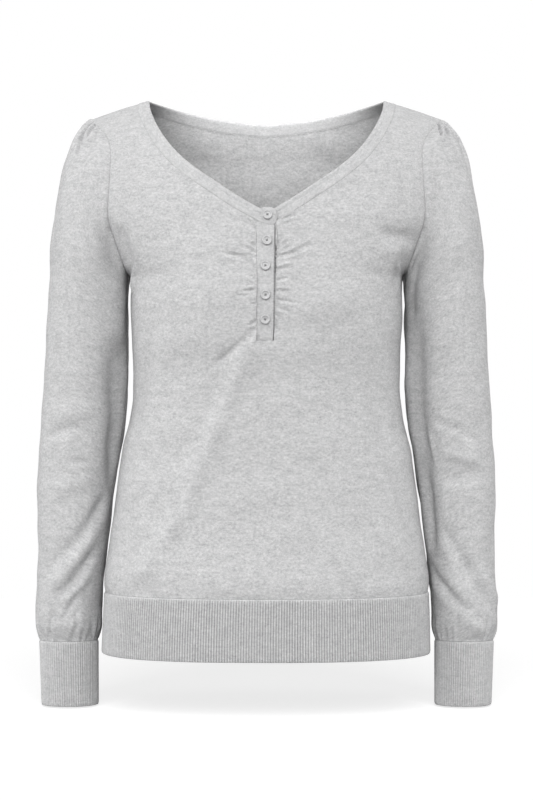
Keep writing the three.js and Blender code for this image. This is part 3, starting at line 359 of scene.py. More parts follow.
# Directions at such pairs: n out of the cloth, and g from the panel towards the neck's edge.
def neck_frame(side, low, high):
    n = body_normal(side, low)
    rise = (shoulder_height(low[-1, 0] + 1) - shoulder_height(low[-1, 0] - 1)) / 2
    n[-1] = unit(np.array([-rise, 0, 1.0]))
    at_shoulder = smooth(14, 0, np.abs(low[:, 1]))[:, None] > 0.999
    n = unit(np.where(at_shoulder, n[-1], n))
    g = high - low
    return n, unit(g - n * np.sum(g * n, axis=1, keepdims=True))


# ---- grids and meshes ----
# Normals of a grid of points, all on the side that the point-wise directions away mostly face.
def grid_normals(grid, away, closed=False):
    if closed:
        across = np.roll(grid, -1, axis=1) - np.roll(grid, 1, axis=1)
    else:
        across = np.gradient(grid, axis=1)
    n = unit(np.cross(across, np.gradient(grid, axis=0)))
    return n if np.mean(np.sum(n * away, axis=-1)) > 0 else -n


# Quads turned, all together, so that the closed mesh they form faces outwards.
def faced(points, quads):
    a, b, c, d = (points[quads[:, k]] for k in range(4))
    volume = np.sum(a * np.cross(b, c)) + np.sum(a * np.cross(c, d))
    return quads if volume > 0 else quads[:, ::-1]


# A new object in the scene.
def linked(name, data):
    made = bpy.data.objects.new(name, data)
    bpy.context.scene.collection.objects.link(made)
    return made


# A smooth mesh in metres from points in millimetres.
def smooth_mesh(name, points, faces, material):
    mesh = bpy.data.meshes.new(name)
    mesh.from_pydata((points * MM).tolist(), [], faces)
    mesh.polygons.foreach_set("use_smooth", np.ones(len(mesh.polygons), bool))
    mesh.materials.append(material)
    return mesh


# A visual piece that rides on the body root, in place of a node of the solids where one is named.
def worn(name, data, node=None):
    piece = linked(name, data)
    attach(piece, "root")
    if node:
        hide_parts(node)
    return piece


# Quads of a closed wall between two grids of the same size; has says which cells hold cloth.
def wall_quads(rows, width, closed, has):
    columns = width if closed else width - 1
    i, j = np.meshgrid(np.arange(rows - 1), np.arange(columns), indexing="ij")
    there = np.ones((rows - 1, columns), bool) if has is None else has
    a, b = i * width + j, i * width + (j + 1) % width
    d, c = a + width, b + width
    inside = rows * width
    quads = [joined(a, b, c, d)[there], joined(d, c, b, a)[there] + inside]
    padded = np.pad(there, 1)
    if closed:
        padded[1:-1, 0], padded[1:-1, -1] = there[:, -1], there[:, 0]
    sides = (
        (padded[:-2, 1:-1], b, a),
        (padded[2:, 1:-1], d, c),
        (padded[1:-1, :-2], a, d),
        (padded[1:-1, 2:], c, b),
    )
    for neighbour, p, q in sides:
        rim = there & ~neighbour
        quads.append(joined(p[rim], q[rim], q[rim] + inside, p[rim] + inside))
    return np.concatenate(quads)


# UV of points of the body in millimetres of cloth: round it from the middle, and up along the cloth.
def body_uv(side, grid):
    share = np.linspace(0, 1, 1500)
    round_it = lengths(joined(share, 0.68 * (1 - share**SQUARENESS) ** (1 / SQUARENESS)))
    x, wide = grid[..., 0], width_at(grid[..., 2])
    across = np.interp(np.clip(np.abs(x) / wide, 0, 1), share, round_it) * wide * np.sign(x)
    chest = joined(x, 0.0, CHEST_Z)
    return joined(across, place(side, chest)[..., 1] - place(side, grid)[..., 1] + CHEST_Z)


# A piece of cloth between two grids, with UVs in millimetres of cloth. Girth is the way round a closed
# piece, where its UVs start again; painted_rib_shade says how deep between its ribs a point lies, for painted
# shade in the grooves.
def shell(name, outer, inner, node, slot, uv, closed=False, has=None, girth=None, painted_rib_shade=None):
    def both(values):
        return np.tile(np.broadcast_to(values, outer.shape[:2]).ravel(), 2)

    points = np.concatenate([outer.reshape(-1, 3), inner.reshape(-1, 3)])
    quads = faced(points, wall_quads(*outer.shape[:2], closed, has))
    used = np.unique(quads)
    place_of = np.zeros(len(points), int)
    place_of[used] = np.arange(len(used))
    mesh = smooth_mesh(name, points[used], place_of[quads].tolist(), CLOTHS[slot])
    flat = np.tile(uv.reshape(-1, 2), (2, 1))[quads]
    if girth is not None:
        once_round = both(girth)[quads]
        behind = flat[..., 0].max(axis=1, keepdims=True) - flat[..., 0] > 0.5 * once_round
        flat[..., 0] += behind * once_round
    mesh.uv_layers.new(name="cloth").data.foreach_set("uv", (flat * MM).astype(np.float32).ravel())
    # Painted shade: the depth between ribs is kept on the mesh for the material, which darkens the grooves
    # with it.
    if painted_rib_shade is not None:
        depth = mesh.attributes.new("painted_rib_shade", "FLOAT", "POINT")
        depth.data.foreach_set("value", both(painted_rib_shade)[used].astype(np.float32))
    mesh.validate()
    return worn(name, mesh, node)


# ---- folds ----
# Height of a table of folds at places u and v. A fold is a row: where it starts and ends, how far it bows
# sideways, its half width and its height (under 0 for a trough).
def folds_at(table, u, v):
    height = np.zeros(np.shape(u))
    for x1, z1, x2, z2, bend, width, tall in table:
        long = np.hypot(x2 - x1, z2 - z1)
        run = ((u - x1) * (x2 - x1) + (v - z1) * (z2 - z1)) / long**2
        off = ((u - x1) * (z2 - z1) - (v - z1) * (x2 - x1)) / long
        off = off - bend * 4 * np.clip(run, 0, 1) * (1 - np.clip(run, 0, 1))
        ends = smooth(-0.22, 0.28, run) * (1 - smooth(0.72, 1.22, run))
        dip = 0.35 * np.exp(-(((off - 1.9 * width) / (1.2 * width)) ** 2))
        height += tall * ends * (np.exp(-((off / width) ** 2)) - dip)
    return height


# Slow uneven swell of soft cloth.
def swell(seed, u, v, size, amount):
    draw = np.random.default_rng(seed)
    total = np.zeros(np.shape(u))
    for _ in range(7):
        angle = draw.uniform(0, np.pi)
        wave = size * draw.uniform(0.6, 1.7)
        phase = draw.uniform(0, 2 * np.pi)
        total += np.sin((u * np.cos(angle) + v * np.sin(angle)) * 2 * np.pi / wave + phase)
    return total * amount / 3


FRONT_FOLDS = [
    (-14, -262, -56, -360, 2, 9, 3.4),
    (-50, -345, -92, -445, 0, 10, 4.0),
    (-84, -430, -136, -508, 0, 9, 3.8),
    (-105, -255, -140, -425, -4, 9, 2.8),
    (-116, -248, -134, -330, 0, 6, -1.8),
    (-124, -445, -143, -480, 0, 5, 1.6),
    (100, -230, 135, -325, 0, 8, 2.2),
    (106, -318, 154, -465, 0, 6, -2.8),
    (102, -430, 160, -503, 0, 7, 2.0),
    (40, -330, 84, -420, 0, 12, 1.6),
    (60, -455, 96, -512, 0, 9, 2.2),
]
# Hollows of the front beside the armpits.
ARMPIT_HOLLOWS = [
    (-153, -140, -139, -182, 1, 5.5, -4.0),
    (-138.2, -180, -138.8, -203, 0, 2.2, 3.6),
    (138.2, -176, 138.8, -197, 0, 2.2, 3.2),
    (116, -146, 152, -150, 1, 8, -4.5),
    (144, -160, 135, -198, 0, 6, -3.6),
]
# Puckers of the front beside the placket.
PLACKET_GATHERS = [
    (-18.4, -133.6, -9.5, -145.3, 0, 1.5, -2.4),
    (-23, -134.8, -13.7, -144, 0, 1.5, -2.1),
    (-29, -133, -17, -145.5, 0, 1.7, -1.7),
    (-14, -131.5, -10, -137, 0, 1.3, -1.24),
    (-16, -157, -10.3, -161.7, 0, 1.4, -2.1),
    (-23, -160.5, -11.4, -167.5, 0, 1.6, -2.1),
    (-19.6, -168.7, -12.6, -173.2, 0, 1.4, -1.4),
    (-41, -168.5, -21, -172.5, 0, 2.2, -2.48),
    (-22, -172, -10.3, -183, 1, 2.0, -2.79),
    (-18.4, -190.8, -11.4, -194.3, 0, 1.5, -1.4),
    (-25.4, -207, -13.7, -207, 0, 1.4, -1.0),
    (-30, -211.5, -15, -210.5, 0, 1.5, -0.9),
    (-20.7, -203.6, -10.3, -203, 0, 1.4, 1.24),
    (-15, -220.5, -10.3, -219.5, 0, 1.4, -1.4),
    (-17, -241, -10.3, -235.5, 1, 1.5, -2.02),
    (-53, -281, -10.3, -243, 2, 3.8, -2.8),
    (14, -134, 30, -127.5, 0, 1.8, -1.86),
    (16.6, -139.5, 24, -135.5, 0, 1.5, -1.4),
    (9.5, -160.5, 17, -151, 0, 1.4, -1.86),
    (11, -163.5, 21, -155.5, 0, 1.4, -1.55),
    (13, -167, 25, -160.5, 0, 1.5, -1.4),
    (10.5, -171.5, 30, -167, 0, 1.9, -2.94),
    (27, -167.5, 46, -158.5, 0, 2.3, -2.17),
    (9.5, -182.6, 24, -178.5, 0, 1.8, 1.86),
    (10.5, -195.5, 21, -194, 0, 1.5, -1.55),
    (10, -203.6, 22, -204.2, 0, 1.5, 1.4),
    (10, -215.3, 28.2, -218.6, 0, 1.7, -1.86),
    (11, -223.4, 23.6, -228, 0, 1.5, -1.4),
    (10, -230.4, 16.6, -237.5, 0, 1.4, -1.4),
]
BACK_FOLDS = [
    (40, -330, 110, -480, 0, 14, 3),
    (-55, -345, -120, -500, 0, 13, 3.2),
    (-95, -300, -60, -340, 0, 12, 2.4),
    (60, -300, 105, -280, 0, 12, 2.2),
    (130, -170, 115, -240, 0, 12, 2.6),
    (-130, -165, -118, -235, 0, 12, 2.4),
]


# Broad fullness of the front over both breasts and over the waist: middle and half width from the middle
# line, middle and half height, and how proud it stands.
BUST_FULL = (70, 44, -222, 46, 5.5)
WAIST_FULL = (0, 112, -370, 75, 6)
HEM_BLOUSE = 1.6  # how proud the cloth stands over the ribbed hem
HEM_BLOUSE_UP = 24  # and how far above it


def fullness(full, off_middle, z, power=2):
    middle, wide, level, tall, proud = full
    return proud * np.exp(-(((off_middle - middle) / wide) ** power) - ((z - level) / tall) ** 2)

# Folds of the sleeves, placed by height and by the angle round the sleeve from under the arm over the
# front, in degrees times 0.8.
SLEEVE_LEFT_FOLDS = [
    (20, -165, 14, -235, 0, 9, -5),
    (31, -232, 27, -410, 0, 16, -8.5),
    (24, -400, 22, -475, 0, 13, -7.5),
    (14, -492, 92, -548, 1, 6, -3.4),
    (42, -350, 46, -382, 0, 4, 2.2),
    (52, -338, 80, -350, 0, 4, -1.8),
    (80, -352, 104, -362, 0, 4.5, -2.0),
    (60, -372, 100, -382, 0, 6, 2.2),
    (56, -400, 92, -396, 0, 7, -2.0),
    (48, -452, 84, -500, 0, 7, -2.8),
    (66, -486, 112, -540, 0, 8, -3.2),
    (96, -500, 128, -530, 0, 8, 2.8),
    (48, -500, 84, -550, 0, 7, 2.4),
    (120, -120, 150, -190, 0, 10, 2.0),
    (164, -350, 232, -372, 0, 8, 2.8),
    (172, -500, 240, -540, 0, 9, 2.8),
]
SLEEVE_RIGHT_FOLDS = [
    (24, -185, 26, -255, 0, 13, 5),
    (36, -272, 18, -400, 0, 16, -8.5),
    (62, -505, 82, -520, 0, 4, -2.0),
    (54, -535, 70, -552, 0, 4, -2.2),
    (74, -528, 92, -545, 0, 4, -2.0),
    (30, -420, 62, -466, 0, 8, -4.5),
    (60, -462, 112, -506, 0, 8, -3.6),
    (42, -452, 92, -520, 0, 8, 3.0),
    (40, -478, 78, -520, 0, 6, -3.2),
    (46, -500, 84, -536, 0, 6, 2.4),
    (58, -520, 76, -548, 0, 4, -2.2),
    (60, -382, 84, -381, 0, 3, -1.8),
    (78, -346, 110, -357, 0, 5, -2.2),
    (60, -326, 96, -336, 0, 7, 1.8),
    (50, -398, 96, -412, 0, 8, 2.0),
    (122, -125, 148, -185, 0, 10, 1.8),
    (166, -362, 230, -350, 0, 8, 2.8),
    (176, -520, 246, -490, 0, 9, 2.8),
]
# Larger gathers of the caps: millimetres along the armhole seam from its top (front under 0), and away
# from it.
CAP_LEFT = [
    (-9, -1, -27, 12, 0, 1.5, -5),
    (-6, 0, -18, 17, 0, 1.4, -5),
    (-2, -1, -12, 24, -1, 1.5, -4.6),
    (2, -1, -3, 30, -1, 1.5, -3.2),
    (7, -1, 8, 28, 0, 1.5, -3.0),
    (-5, 24, -13, 62, 0, 3.2, -1.8),
]
CAP_RIGHT = [
    (-8, -1, -12, 14, 0, 1.4, -4.2),
    (-14, 0, -23, 15, 0, 1.4, -3.8),
    (-11, 9, -18, 24, 0, 1.6, -4.0),
    (-17, 19, -25, 36, 0, 2.0, -3.4),
    (-3, -1, -5, 14, 0, 1.3, -3.2),
    (-5, 8, -12, 42, 0, 2.6, -1.8),
    (-25, 3, -37, 15, 0, 1.9, -1.8),
]


# ---- panels ----
SHOULDER_NECK = neck_pairs(1, 0, [1.0])[0][0]
SHOULDER_TIP = ARM_LINE[-1][-1]


def shoulder_seam(shares):
    x = mix(SHOULDER_TIP[0], SHOULDER_NECK[0], shares)
    return joined(x, 0.0, shoulder_height(x))


# Surface grid between four edges given as turns and drops: bottom, top, left and right.
def patch(side, bottom, top, left, right, u, v):
    u, v = u[None, :, None], v[:, None, None]
    ends = (1 - v) * bottom[None] + v * top[None]
    edges = (1 - u) * left[:, None] + u * right[:, None]
    corners = (1 - v) * ((1 - u) * bottom[0] + u * bottom[-1]) + v * ((1 - u) * top[0] + u * top[-1])
    at = ends + edges - corners
    return body_turned(side, at[..., 0], np.maximum(0, at[..., 1]))


# Rows of a panel below the armholes, from where each row starts to the side seam.
def low_rows(side, starts, levels, u):
    z = levels[:, None] + 0 * u
    start = place(side, body_at(side, starts, levels))[:, :1]
    turn = mix(start, np.pi / 2, u[None])
    return body_at(side, width_at(z) * np.sin(turn) ** (2 / SQUARENESS), z)


# Rows of the panels up to the chest, columns across them and rows above the chest: finer at seams and slit.
FRONT_LEVELS = HEM_SEAM_Z + runs(
    (3.2, 0.9),
    (SLIT_END_Z - 18 - HEM_SEAM_Z, 4.2),
    (SLIT_END_Z - HEM_SEAM_Z, 0.9),
    (CHEST_Z - HEM_SEAM_Z, 0.85),
)
FRONT_ACROSS = runs((2.4, 0.6), (36, 1.15), (161.2, 3.5), (165, 0.9)) / 165
FRONT_UP = (runs((52, 0.85), (243.5, 3.3), (247, 0.9)) / 247)[1:]
BACK_LEVELS = HEM_SEAM_Z + runs((3.2, 0.9), (CHEST_Z - HEM_SEAM_Z, 3.2))
BACK_ACROSS = spread(60, 170, start=False)
BACK_UP = spread(88, 300, start=False)[1:]


# Edge of the slit on one half of the front: straight on the left, leaning in on the right.
def slit_edge(start_x, z):
    lean = SLIT_LEAN if start_x == SLIT_RIGHT else 0
    return start_x - lean * (1 - np.clip((z - SLIT_END_Z) / (SLIT_TOP_Z - SLIT_END_Z), 0, 1))


def half_front(start_x):
    u = FRONT_ACROSS
    low = low_rows(-1, slit_edge(start_x, FRONT_LEVELS), FRONT_LEVELS, u)
    seam, _ = neck_pairs(-1, start_x, np.linspace(0, 1, 300))
    rising = np.linspace(CHEST_Z, seam[0, 2], 40)
    slit = body_at(-1, slit_edge(start_x, rising), rising)
    left = pick(np.concatenate([slit[:-1], seam]), FRONT_UP)
    right = pick(ARM_LINE[-1], FRONT_UP)
    shoulder = shoulder_seam(1 - u)
    top, lefts, rights = place(-1, shoulder), place(-1, left), place(-1, right)
    top[:, 1] = rights[-1, 1] = lefts[-1, 1] = 0
    upper = patch(-1, place(-1, low[-1]), top, lefts, rights, u, FRONT_UP)
    upper[:, 0], upper[:, -1], upper[-1] = left, right, shoulder
    return np.concatenate([low, upper])


def half_back():
    u = BACK_ACROSS
    low = low_rows(1, 0 * BACK_LEVELS, BACK_LEVELS, u)
    seam, _ = neck_pairs(1, 0.0, u)
    right = pick(np.concatenate([ARM_LINE[1][:-1], shoulder_seam(np.linspace(0, 1, 60))]), BACK_UP)
    bottom, top, rights = place(1, low[-1]), place(1, seam), place(1, right)
    top[-1, 1] = 0
    rights[(right[:, 1] < 0.01) & (right[:, 2] > CHEST_Z / 2), 1] = 0
    lefts = joined(0.0, mix(bottom[0, 1], top[0, 1], BACK_UP))
    upper = patch(1, bottom, top, lefts, rights, u, BACK_UP)
    upper[:, -1], upper[-1] = right, seam
    return np.concatenate([low, upper])


def mirrored(grid):
    return grid[:, ::-1] * np.array([-1.0, 1, 1])


# Distances of each point of a grid, counted along its rows and columns, from its left, right, lower and
# upper edge.
def from_edges(grid):
    across = np.linalg.norm(np.diff(grid, axis=1), axis=2)
    walked = np.concatenate([np.zeros((len(grid), 1)), np.cumsum(across, axis=1)], axis=1)
    up = np.linalg.norm(np.diff(grid, axis=0), axis=2)
    risen = np.concatenate([np.zeros((1, grid.shape[1])), np.cumsum(up, axis=0)])
    return walked, walked[:, -1:] - walked, risen, risen[-1:] - risen


def seam_dip(distance, deep, wide):
    return -deep * np.exp(-((distance / wide) ** 2))


# The cloth stands a little proud along the middle of an armhole: how much, from the distance to its tip
# and its height, and how that dies away from the seam.
def seam_fill(from_tip, z, from_seam):
    return 4.0 * smooth(4, 30, from_tip) * smooth(-200, -150, z) * np.exp(-((from_seam / 17) ** 2))


# The same for a panel, whose outer edge runs down the armhole from the widest point of the shoulder.
def panel_fill(grid, side_gap):
    edge = grid[::-1, 0]
    run = lengths(edge)
    from_tip = np.maximum(0, run - run[np.abs(edge[:, 0]).argmax()])[::-1]
    return seam_fill(from_tip[:, None], grid[:, :1, 2], side_gap)


# Folds and slow swell (slow: seed, size and amount) of a panel, dying away towards its seams.
def soft_relief(grid, folds, slow, side_gap, risen, fallen, from_top):
    x, z = grid[..., 0], grid[..., 2]
    seed, size, amount = slow
    soft = smooth(0, 14, side_gap) * smooth(0, 9, risen) * smooth(0, from_top, fallen)
    return (folds_at(folds, x, z) + swell(seed, x, z, size, amount)) * soft


# The cloth bulges a little over the ribbed hem.
def hem_blouse(z, side_gap, risen):
    up = (z - HEM_SEAM_Z - HEM_BLOUSE_UP) / HEM_BLOUSE_UP
    return HEM_BLOUSE * np.exp(-(up**2)) * smooth(0, 14, side_gap) * smooth(0, 6, risen)


def front_panel():
    left, right = mirrored(half_front(-SLIT_LEFT)), half_front(SLIT_RIGHT)
    inner = np.linspace(SLIT_LEFT, SLIT_RIGHT - SLIT_LEAN, 9)[1:-1]
    levels = right[:, :1, 2] + 0 * inner
    middle = body_at(-1, inner, np.minimum(levels, SLIT_END_Z + 20))
    grid = np.concatenate([left, middle, right], axis=1)
    first, last = left.shape[1] - 1, left.shape[1] + len(inner)
    below = np.concatenate([FRONT_LEVELS < SLIT_END_Z + 0.1, np.zeros(len(FRONT_UP), bool)])
    has = np.ones((len(grid) - 1, grid.shape[1] - 1), bool)
    has[~below[1:], first:last] = False

    n = grid_normals(grid, np.array([0, -1, 0.2]))
    x, z = grid[..., 0], grid[..., 2]
    to_side, from_slit, _, _ = from_edges(left)
    from_slit_right, to_side_right, _, _ = from_edges(right)
    # The columns in between hold cloth below the slit only.
    blank = np.full((len(grid), len(inner)), MIDDLE_GAP)
    side_gap = np.concatenate([to_side, blank, to_side_right], axis=1)
    slit_gap = np.concatenate([from_slit, blank, from_slit_right], axis=1)
    _, _, risen, fallen = from_edges(grid)
    at_neck = np.where(z > -150, smooth(0, 12, slit_gap), 1)
    height = soft_relief(grid, FRONT_FOLDS, (3, 62, 0.7), side_gap, risen, fallen, 16) * at_neck
    height += hem_blouse(z, side_gap, risen)
    height += folds_at(ARMPIT_HOLLOWS, x, z) * smooth(0, 5, side_gap)
    height += fullness(BUST_FULL, np.abs(x), z)
    height += fullness(WAIST_FULL, x, z, power=4)
    beside_slit = slit_gap < MIDDLE_GAP
    gathers = folds_at(PLACKET_GATHERS, x, z) * smooth(0, 10, side_gap)
    height += gathers * smooth(0, 1.6, slit_gap) * beside_slit
    height += seam_dip(side_gap, 0.06, 1.0) + seam_dip(risen, 0.15, 1.0) + seam_dip(fallen, 0.3, 1.2)
    height += np.where((z > SLIT_END_Z) & beside_slit, seam_dip(slit_gap, 0.02, 0.8), 0)
    outer = grid + n * height[..., None]
    # The right edge of the slit goes down under the strip, from the end of the slit to the band.
    lap = LAP * smooth(SLIT_END_Z, SLIT_END_Z + 16, z) * smooth(6, 0, slit_gap) * (x > 0)
    outer -= n * (lap * smooth(-138, -146, z))[..., None]
    outer[..., 1] -= panel_fill(grid, side_gap)
    thick = grid_normals(outer, n)
    thick[:, first], thick[:, last] = thick[:, first - 1], thick[:, last + 1]
    inner = outer - thick * CLOTH
    return shell("front_panel", outer, inner, "front", "jersey", body_uv(-1, grid), has=has)


def back_panel():
    half = half_back()
    grid = np.concatenate([mirrored(half)[:, :-1], half], axis=1)
    n = grid_normals(grid, np.array([0, 1, 0.2]))
    left_gap, right_gap, risen, fallen = from_edges(grid)
    side_gap = np.minimum(left_gap, right_gap)
    height = soft_relief(grid, BACK_FOLDS, (5, 66, 0.8), side_gap, risen, fallen, 20)
    height += hem_blouse(grid[..., 2], side_gap, risen)
    height += seam_dip(side_gap, 0.06, 1.0) + seam_dip(risen, 0.15, 1.0) + seam_dip(fallen, 0.4, 1.3)
    outer = grid + n * height[..., None]
    outer[..., 1] += panel_fill(grid, side_gap)
    inner = outer - grid_normals(outer, n) * CLOTH
    return shell("back_panel", outer, inner, "back", "jersey", body_uv(1, grid))


# ---- sleeves ----
# Cosine or sine f of an angle on the squared oval of a sleeve.
def oval(angle, f):
    return np.sign(f(angle)) * np.abs(f(angle)) ** (2 / SLEEVE_SQUARENESS)


# Points of the front or back half of the sleeve, at ring s, a share f of the way from the inside.
def ring_at(s, side, f):
    v = {c: along(SLEEVE, SLEEVE_COLUMNS, c, s) for c in SLEEVE_COLUMNS[1:]}
    inwards, deep = oval(np.pi * f, np.cos), oval(np.pi * f, np.sin)
    x = (v["outX"] + v["inX"]) / 2 - inwards * (v["outX"] - v["inX"]) / 2
    z = (v["outZ"] + v["inZ"]) / 2 - inwards * (v["outZ"] - v["inZ"]) / 2
    return joined(x, v["y"] * smooth(0, 3, s) + side * deep * v["deep"], z)


# Gathers of the cap, as folds in millimetres along the armhole seam from its top (front under 0) and away
# from it: the listed ones, and small ones at random between them.
def cap_gathers(seed, listed):
    draw = np.random.default_rng(seed)
    rows = list(listed)
    c = -31.0
    while c < 31:
        if not any(abs(c - row[0]) < 2.2 for row in listed):
            long = draw.choice([9, 14, 24, 38], p=[0.3, 0.3, 0.25, 0.15]) * draw.uniform(0.8, 1.2)
            end = c + (c * 0.012 * long + draw.uniform(-1.5, 1.5))
            width = draw.uniform(0.9, 1.2) + long * 0.03
            bend = draw.uniform(-0.8, 0.8)
            rows.append((c, -2, end, long, bend, width, draw.uniform(0.6, 1.1) + long * 0.012))
        c += draw.uniform(2.7, 3.6)
    return rows


# Small puckers where the sleeve is gathered into its cuff, as rows of folds round the sleeve.
def cuff_gathers(seed):
    draw = np.random.default_rng(seed)
    rows = []
    u = 4.0
    while u < 284:
        long = draw.choice([7, 13, 22], p=[0.4, 0.4, 0.2]) * draw.uniform(0.8, 1.3)
        end = u + draw.uniform(-0.35, 0.6) * long * (1 if u < 144 else -1)
        deep = draw.uniform(0.7, 1.3) + 0.03 * long
        rows.append((u, CUFF_TOP_Z - 2, end, CUFF_TOP_Z + long, 0, 1.8 + long * 0.07, -deep))
        u += draw.uniform(5.5, 11)
    return rows


# A sleeve on the wearer's left (hand 1) or right (hand -1), made on the left and mirrored. Its two halves
# are ruled from the armhole's own spacing of points into even steps round the arm.
def sleeve(name, hand, folds, gathers, seed):
    arm = {side: lengths(ARM_LINE[side])[-1] for side in (-1, 1)}
    lower = np.linspace(0, 1 - 32 / arm[-1], 44)
    q = np.concatenate([lower, np.linspace(lower[-1], 1, 50)[1:]])
    rings = np.linspace(0, len(SLEEVE) - 1, 721)
    reach = lengths(ring_at(rings, -1, 1.0))
    wanted = runs((2.4, 0.6), (42, 1.2), (66, 2), (reach[-1] - 3, 3.3), (reach[-1], 0.75))
    s = np.interp(wanted, reach, rings)[:, None]
    grids, rounds, starts = [], [], []
    for side in (-1, 1):
        wide = (arm[side] - ARM_FINE * FINE_STEP) / ARM_WIDE
        marks = [k * wide for k in range(ARM_WIDE)]
        marks += [ARM_WIDE * wide + k * FINE_STEP for k in range(ARM_FINE + 1)]
        step = np.interp(q * arm[side], marks, np.arange(len(marks))) / (ARM_WIDE + ARM_FINE)
        seam = pick(ARM_LINE[side], q)
        off = seam - ring_at(0.0, side, q)
        off[[0, -1], 1] = seam[[0, -1], 1]
        half = ring_at(s, side, mix(q[None], step[None], smooth(0, 9, s)))
        grids.append(half + off * (1 - smooth(0, TIP_FADE, s))[..., None])
        rounds.append(step * 180 if side < 0 else 360 - step * 180)
        starts.append((1 - q) * arm[side] * side)
    grid = np.concatenate([grids[0], grids[1][:, -2:0:-1]], axis=1)
    turn, start = (np.concatenate([both[0], both[1][-2:0:-1]])[None] for both in (rounds, starts))
    n = grid_normals(grid, unit(grid - grid.mean(axis=1, keepdims=True)), closed=True)
    _, _, down, up = from_edges(grid)
    z = grid[..., 2]
    ends = smooth(0, 12, down) * smooth(0, 12, up)
    outside = smooth(2, 24, turn) * (1 - smooth(330, 355, turn))
    around = turn * 0.8 + 0 * z
    height = folds_at(cap_gathers(seed, gathers), start + 0 * down, down) * smooth(0, 1.6, down)
    height += (folds_at(folds, around, z) * outside + swell(seed + 1, around, z, 52, 0.7)) * ends
    height += folds_at(cuff_gathers(seed + 7), around, z) * smooth(0, 2.5, up)
    height += seam_dip(down, 0.06, 1.0) + seam_dip(up, 0.15, 1.0)
    outer = grid + n * height[..., None]
    outer[0] = np.concatenate([sleeve_edge(-1, q), sleeve_edge(1, q)[-2:0:-1]])
    outer[..., 1] += np.where(start < 0, -1, 1) * seam_fill(np.abs(start), grid[:1, :, 2], down)
    outer[-1, :, 2] = CUFF_TOP_Z + SEAM_GAP
    inner = outer - grid_normals(outer, n, closed=True) * CLOTH
    across = from_edges(np.concatenate([grid, grid[:, :1]], axis=1))[0]
    girth = across[:, -1:]
    uv = joined(across[:, :-1] - girth / 2, -down + grid[:1, :, 2])
    turned = np.array([hand, 1.0, 1.0])
    node = name.replace("_knit", "")
    return shell(name, outer * turned, inner * turned, node, "jersey", uv, closed=True, girth=girth)


# ---- ribbed bands ----
# Points round the body at a height, and round a cuff a share t of the way down.
def body_outline(z, angle):
    back = np.sin(angle) >= 0
    out = np.sign(np.cos(angle)) * np.abs(np.cos(angle)) ** (2 / SQUARENESS)
    deep = np.abs(np.sin(angle)) ** (2 / SQUARENESS)
    depth = np.where(back, depth_of(1, z), -depth_of(-1, z))
    return joined(out * width_at(z), deep * depth, z)


def cuff_outline(t, hand, angle):
    _, out_x, _, in_x, _, y, deep = SLEEVE[-1]
    top = ((out_x + in_x) / 2, (out_x - in_x) / 2 - CUFF_INSET, deep - CUFF_INSET, y, CUFF_TOP_Z - SEAM_GAP)
    low = (CUFF_MIDDLE, CUFF_HALF, CUFF_DEEP, CUFF_Y, CUFF_BOTTOM_Z)
    middle, half, deep, y, z = (mix(a, b, t) for a, b in zip(top, low))
    return joined(hand * middle + oval(angle, np.cos) * half, y + oval(angle, np.sin) * deep, z)


# A closed ribbed band; outline gives its points at angles, at a level from 0 (seam) to 1 (free edge).
def ribbed(name, outline, ribs, per_rib, levels, node, wave, seed, shaded=1.0):
    fine = np.linspace(0, 2 * np.pi, 2881)
    count = ribs * per_rib
    shares = np.arange(count) / count
    grid = np.stack([pick(outline(t, fine), shares) for t in levels])
    away = unit((grid - grid.mean(axis=1, keepdims=True)) * np.array([1.0, 1.0, 0.0]))
    n = grid_normals(grid, away, closed=True)
    phase = (np.arange(count) % per_rib) / per_rib
    profile = ((0.5 + 0.5 * np.cos(2 * np.pi * phase)) ** 0.8)[None]
    t = np.asarray(levels)[:, None]
    draw = np.random.default_rng(seed)
    uneven = np.repeat(draw.uniform(0.78, 1.12, ribs), per_rib)[None]
    around = 2 * np.pi * shares[None]
    waves = (draw.uniform(0.5, 1) * np.sin(k * around + draw.uniform(0, 6.28)) for k in (3, 5, 7, 11))
    slow = sum(waves) * wave
    height = RIB_HEIGHT * profile * uneven * smooth(0, 0.03, t) * (1 - 0.35 * smooth(0.965, 1, t))
    height = height + slow * smooth(0.25, 1.0, t) * 0.6
    height = height + 0.1 * smooth(0.03, 0, t) - 0.25 * smooth(0.97, 1, t)
    outer = grid + n * height[..., None]
    inner = outer - n * (RIB_CLOTH + height[..., None])
    reach = lengths(np.concatenate([grid[0], grid[0][:1]]))
    uv = joined(reach[None, :-1], -lengths(grid[:, 0])[:, None])
    # Painted shade in the grooves between ribs: the deeper a point lies between two ribs, the darker the
    # material paints it, so many times as strong as shaded.
    painted_rib_shade = shaded * (1 - profile) * smooth(0.0, 0.05, t)
    return shell(name, outer, inner, node, "rib", uv, closed=True, girth=reach[-1], painted_rib_shade=painted_rib_shade)


# ---- neckband ----
# Across the band from its seam to its rolled edge: share of the width, height of the outside and inside.
BAND_SECTION = np.array([
    (0.0, -0.1, -1.7),
    (0.03, 0.2, -1.75),
    (0.09, 0.4, -1.8),
    (0.2, 0.55, -1.8),
    (0.38, 0.5, -1.8),
    (0.5, 0.5, -1.8),
    (0.56, 0.34, -1.8),
    (0.6, 0.2, -1.75),
    (0.64, 0.34, -1.8),
    (0.7, 0.55, -1.8),
    (0.82, 0.62, -1.75),
    (0.9, 0.5, -1.65),
    (0.96, 0.15, -1.45),
    (0.99, -0.25, -1.15),
    (1.0, -0.6, -0.8),
])
TAB_COLUMNS = ("step", "lowX", "lowZ", "highX", "highZ", "lowLift", "highLift")
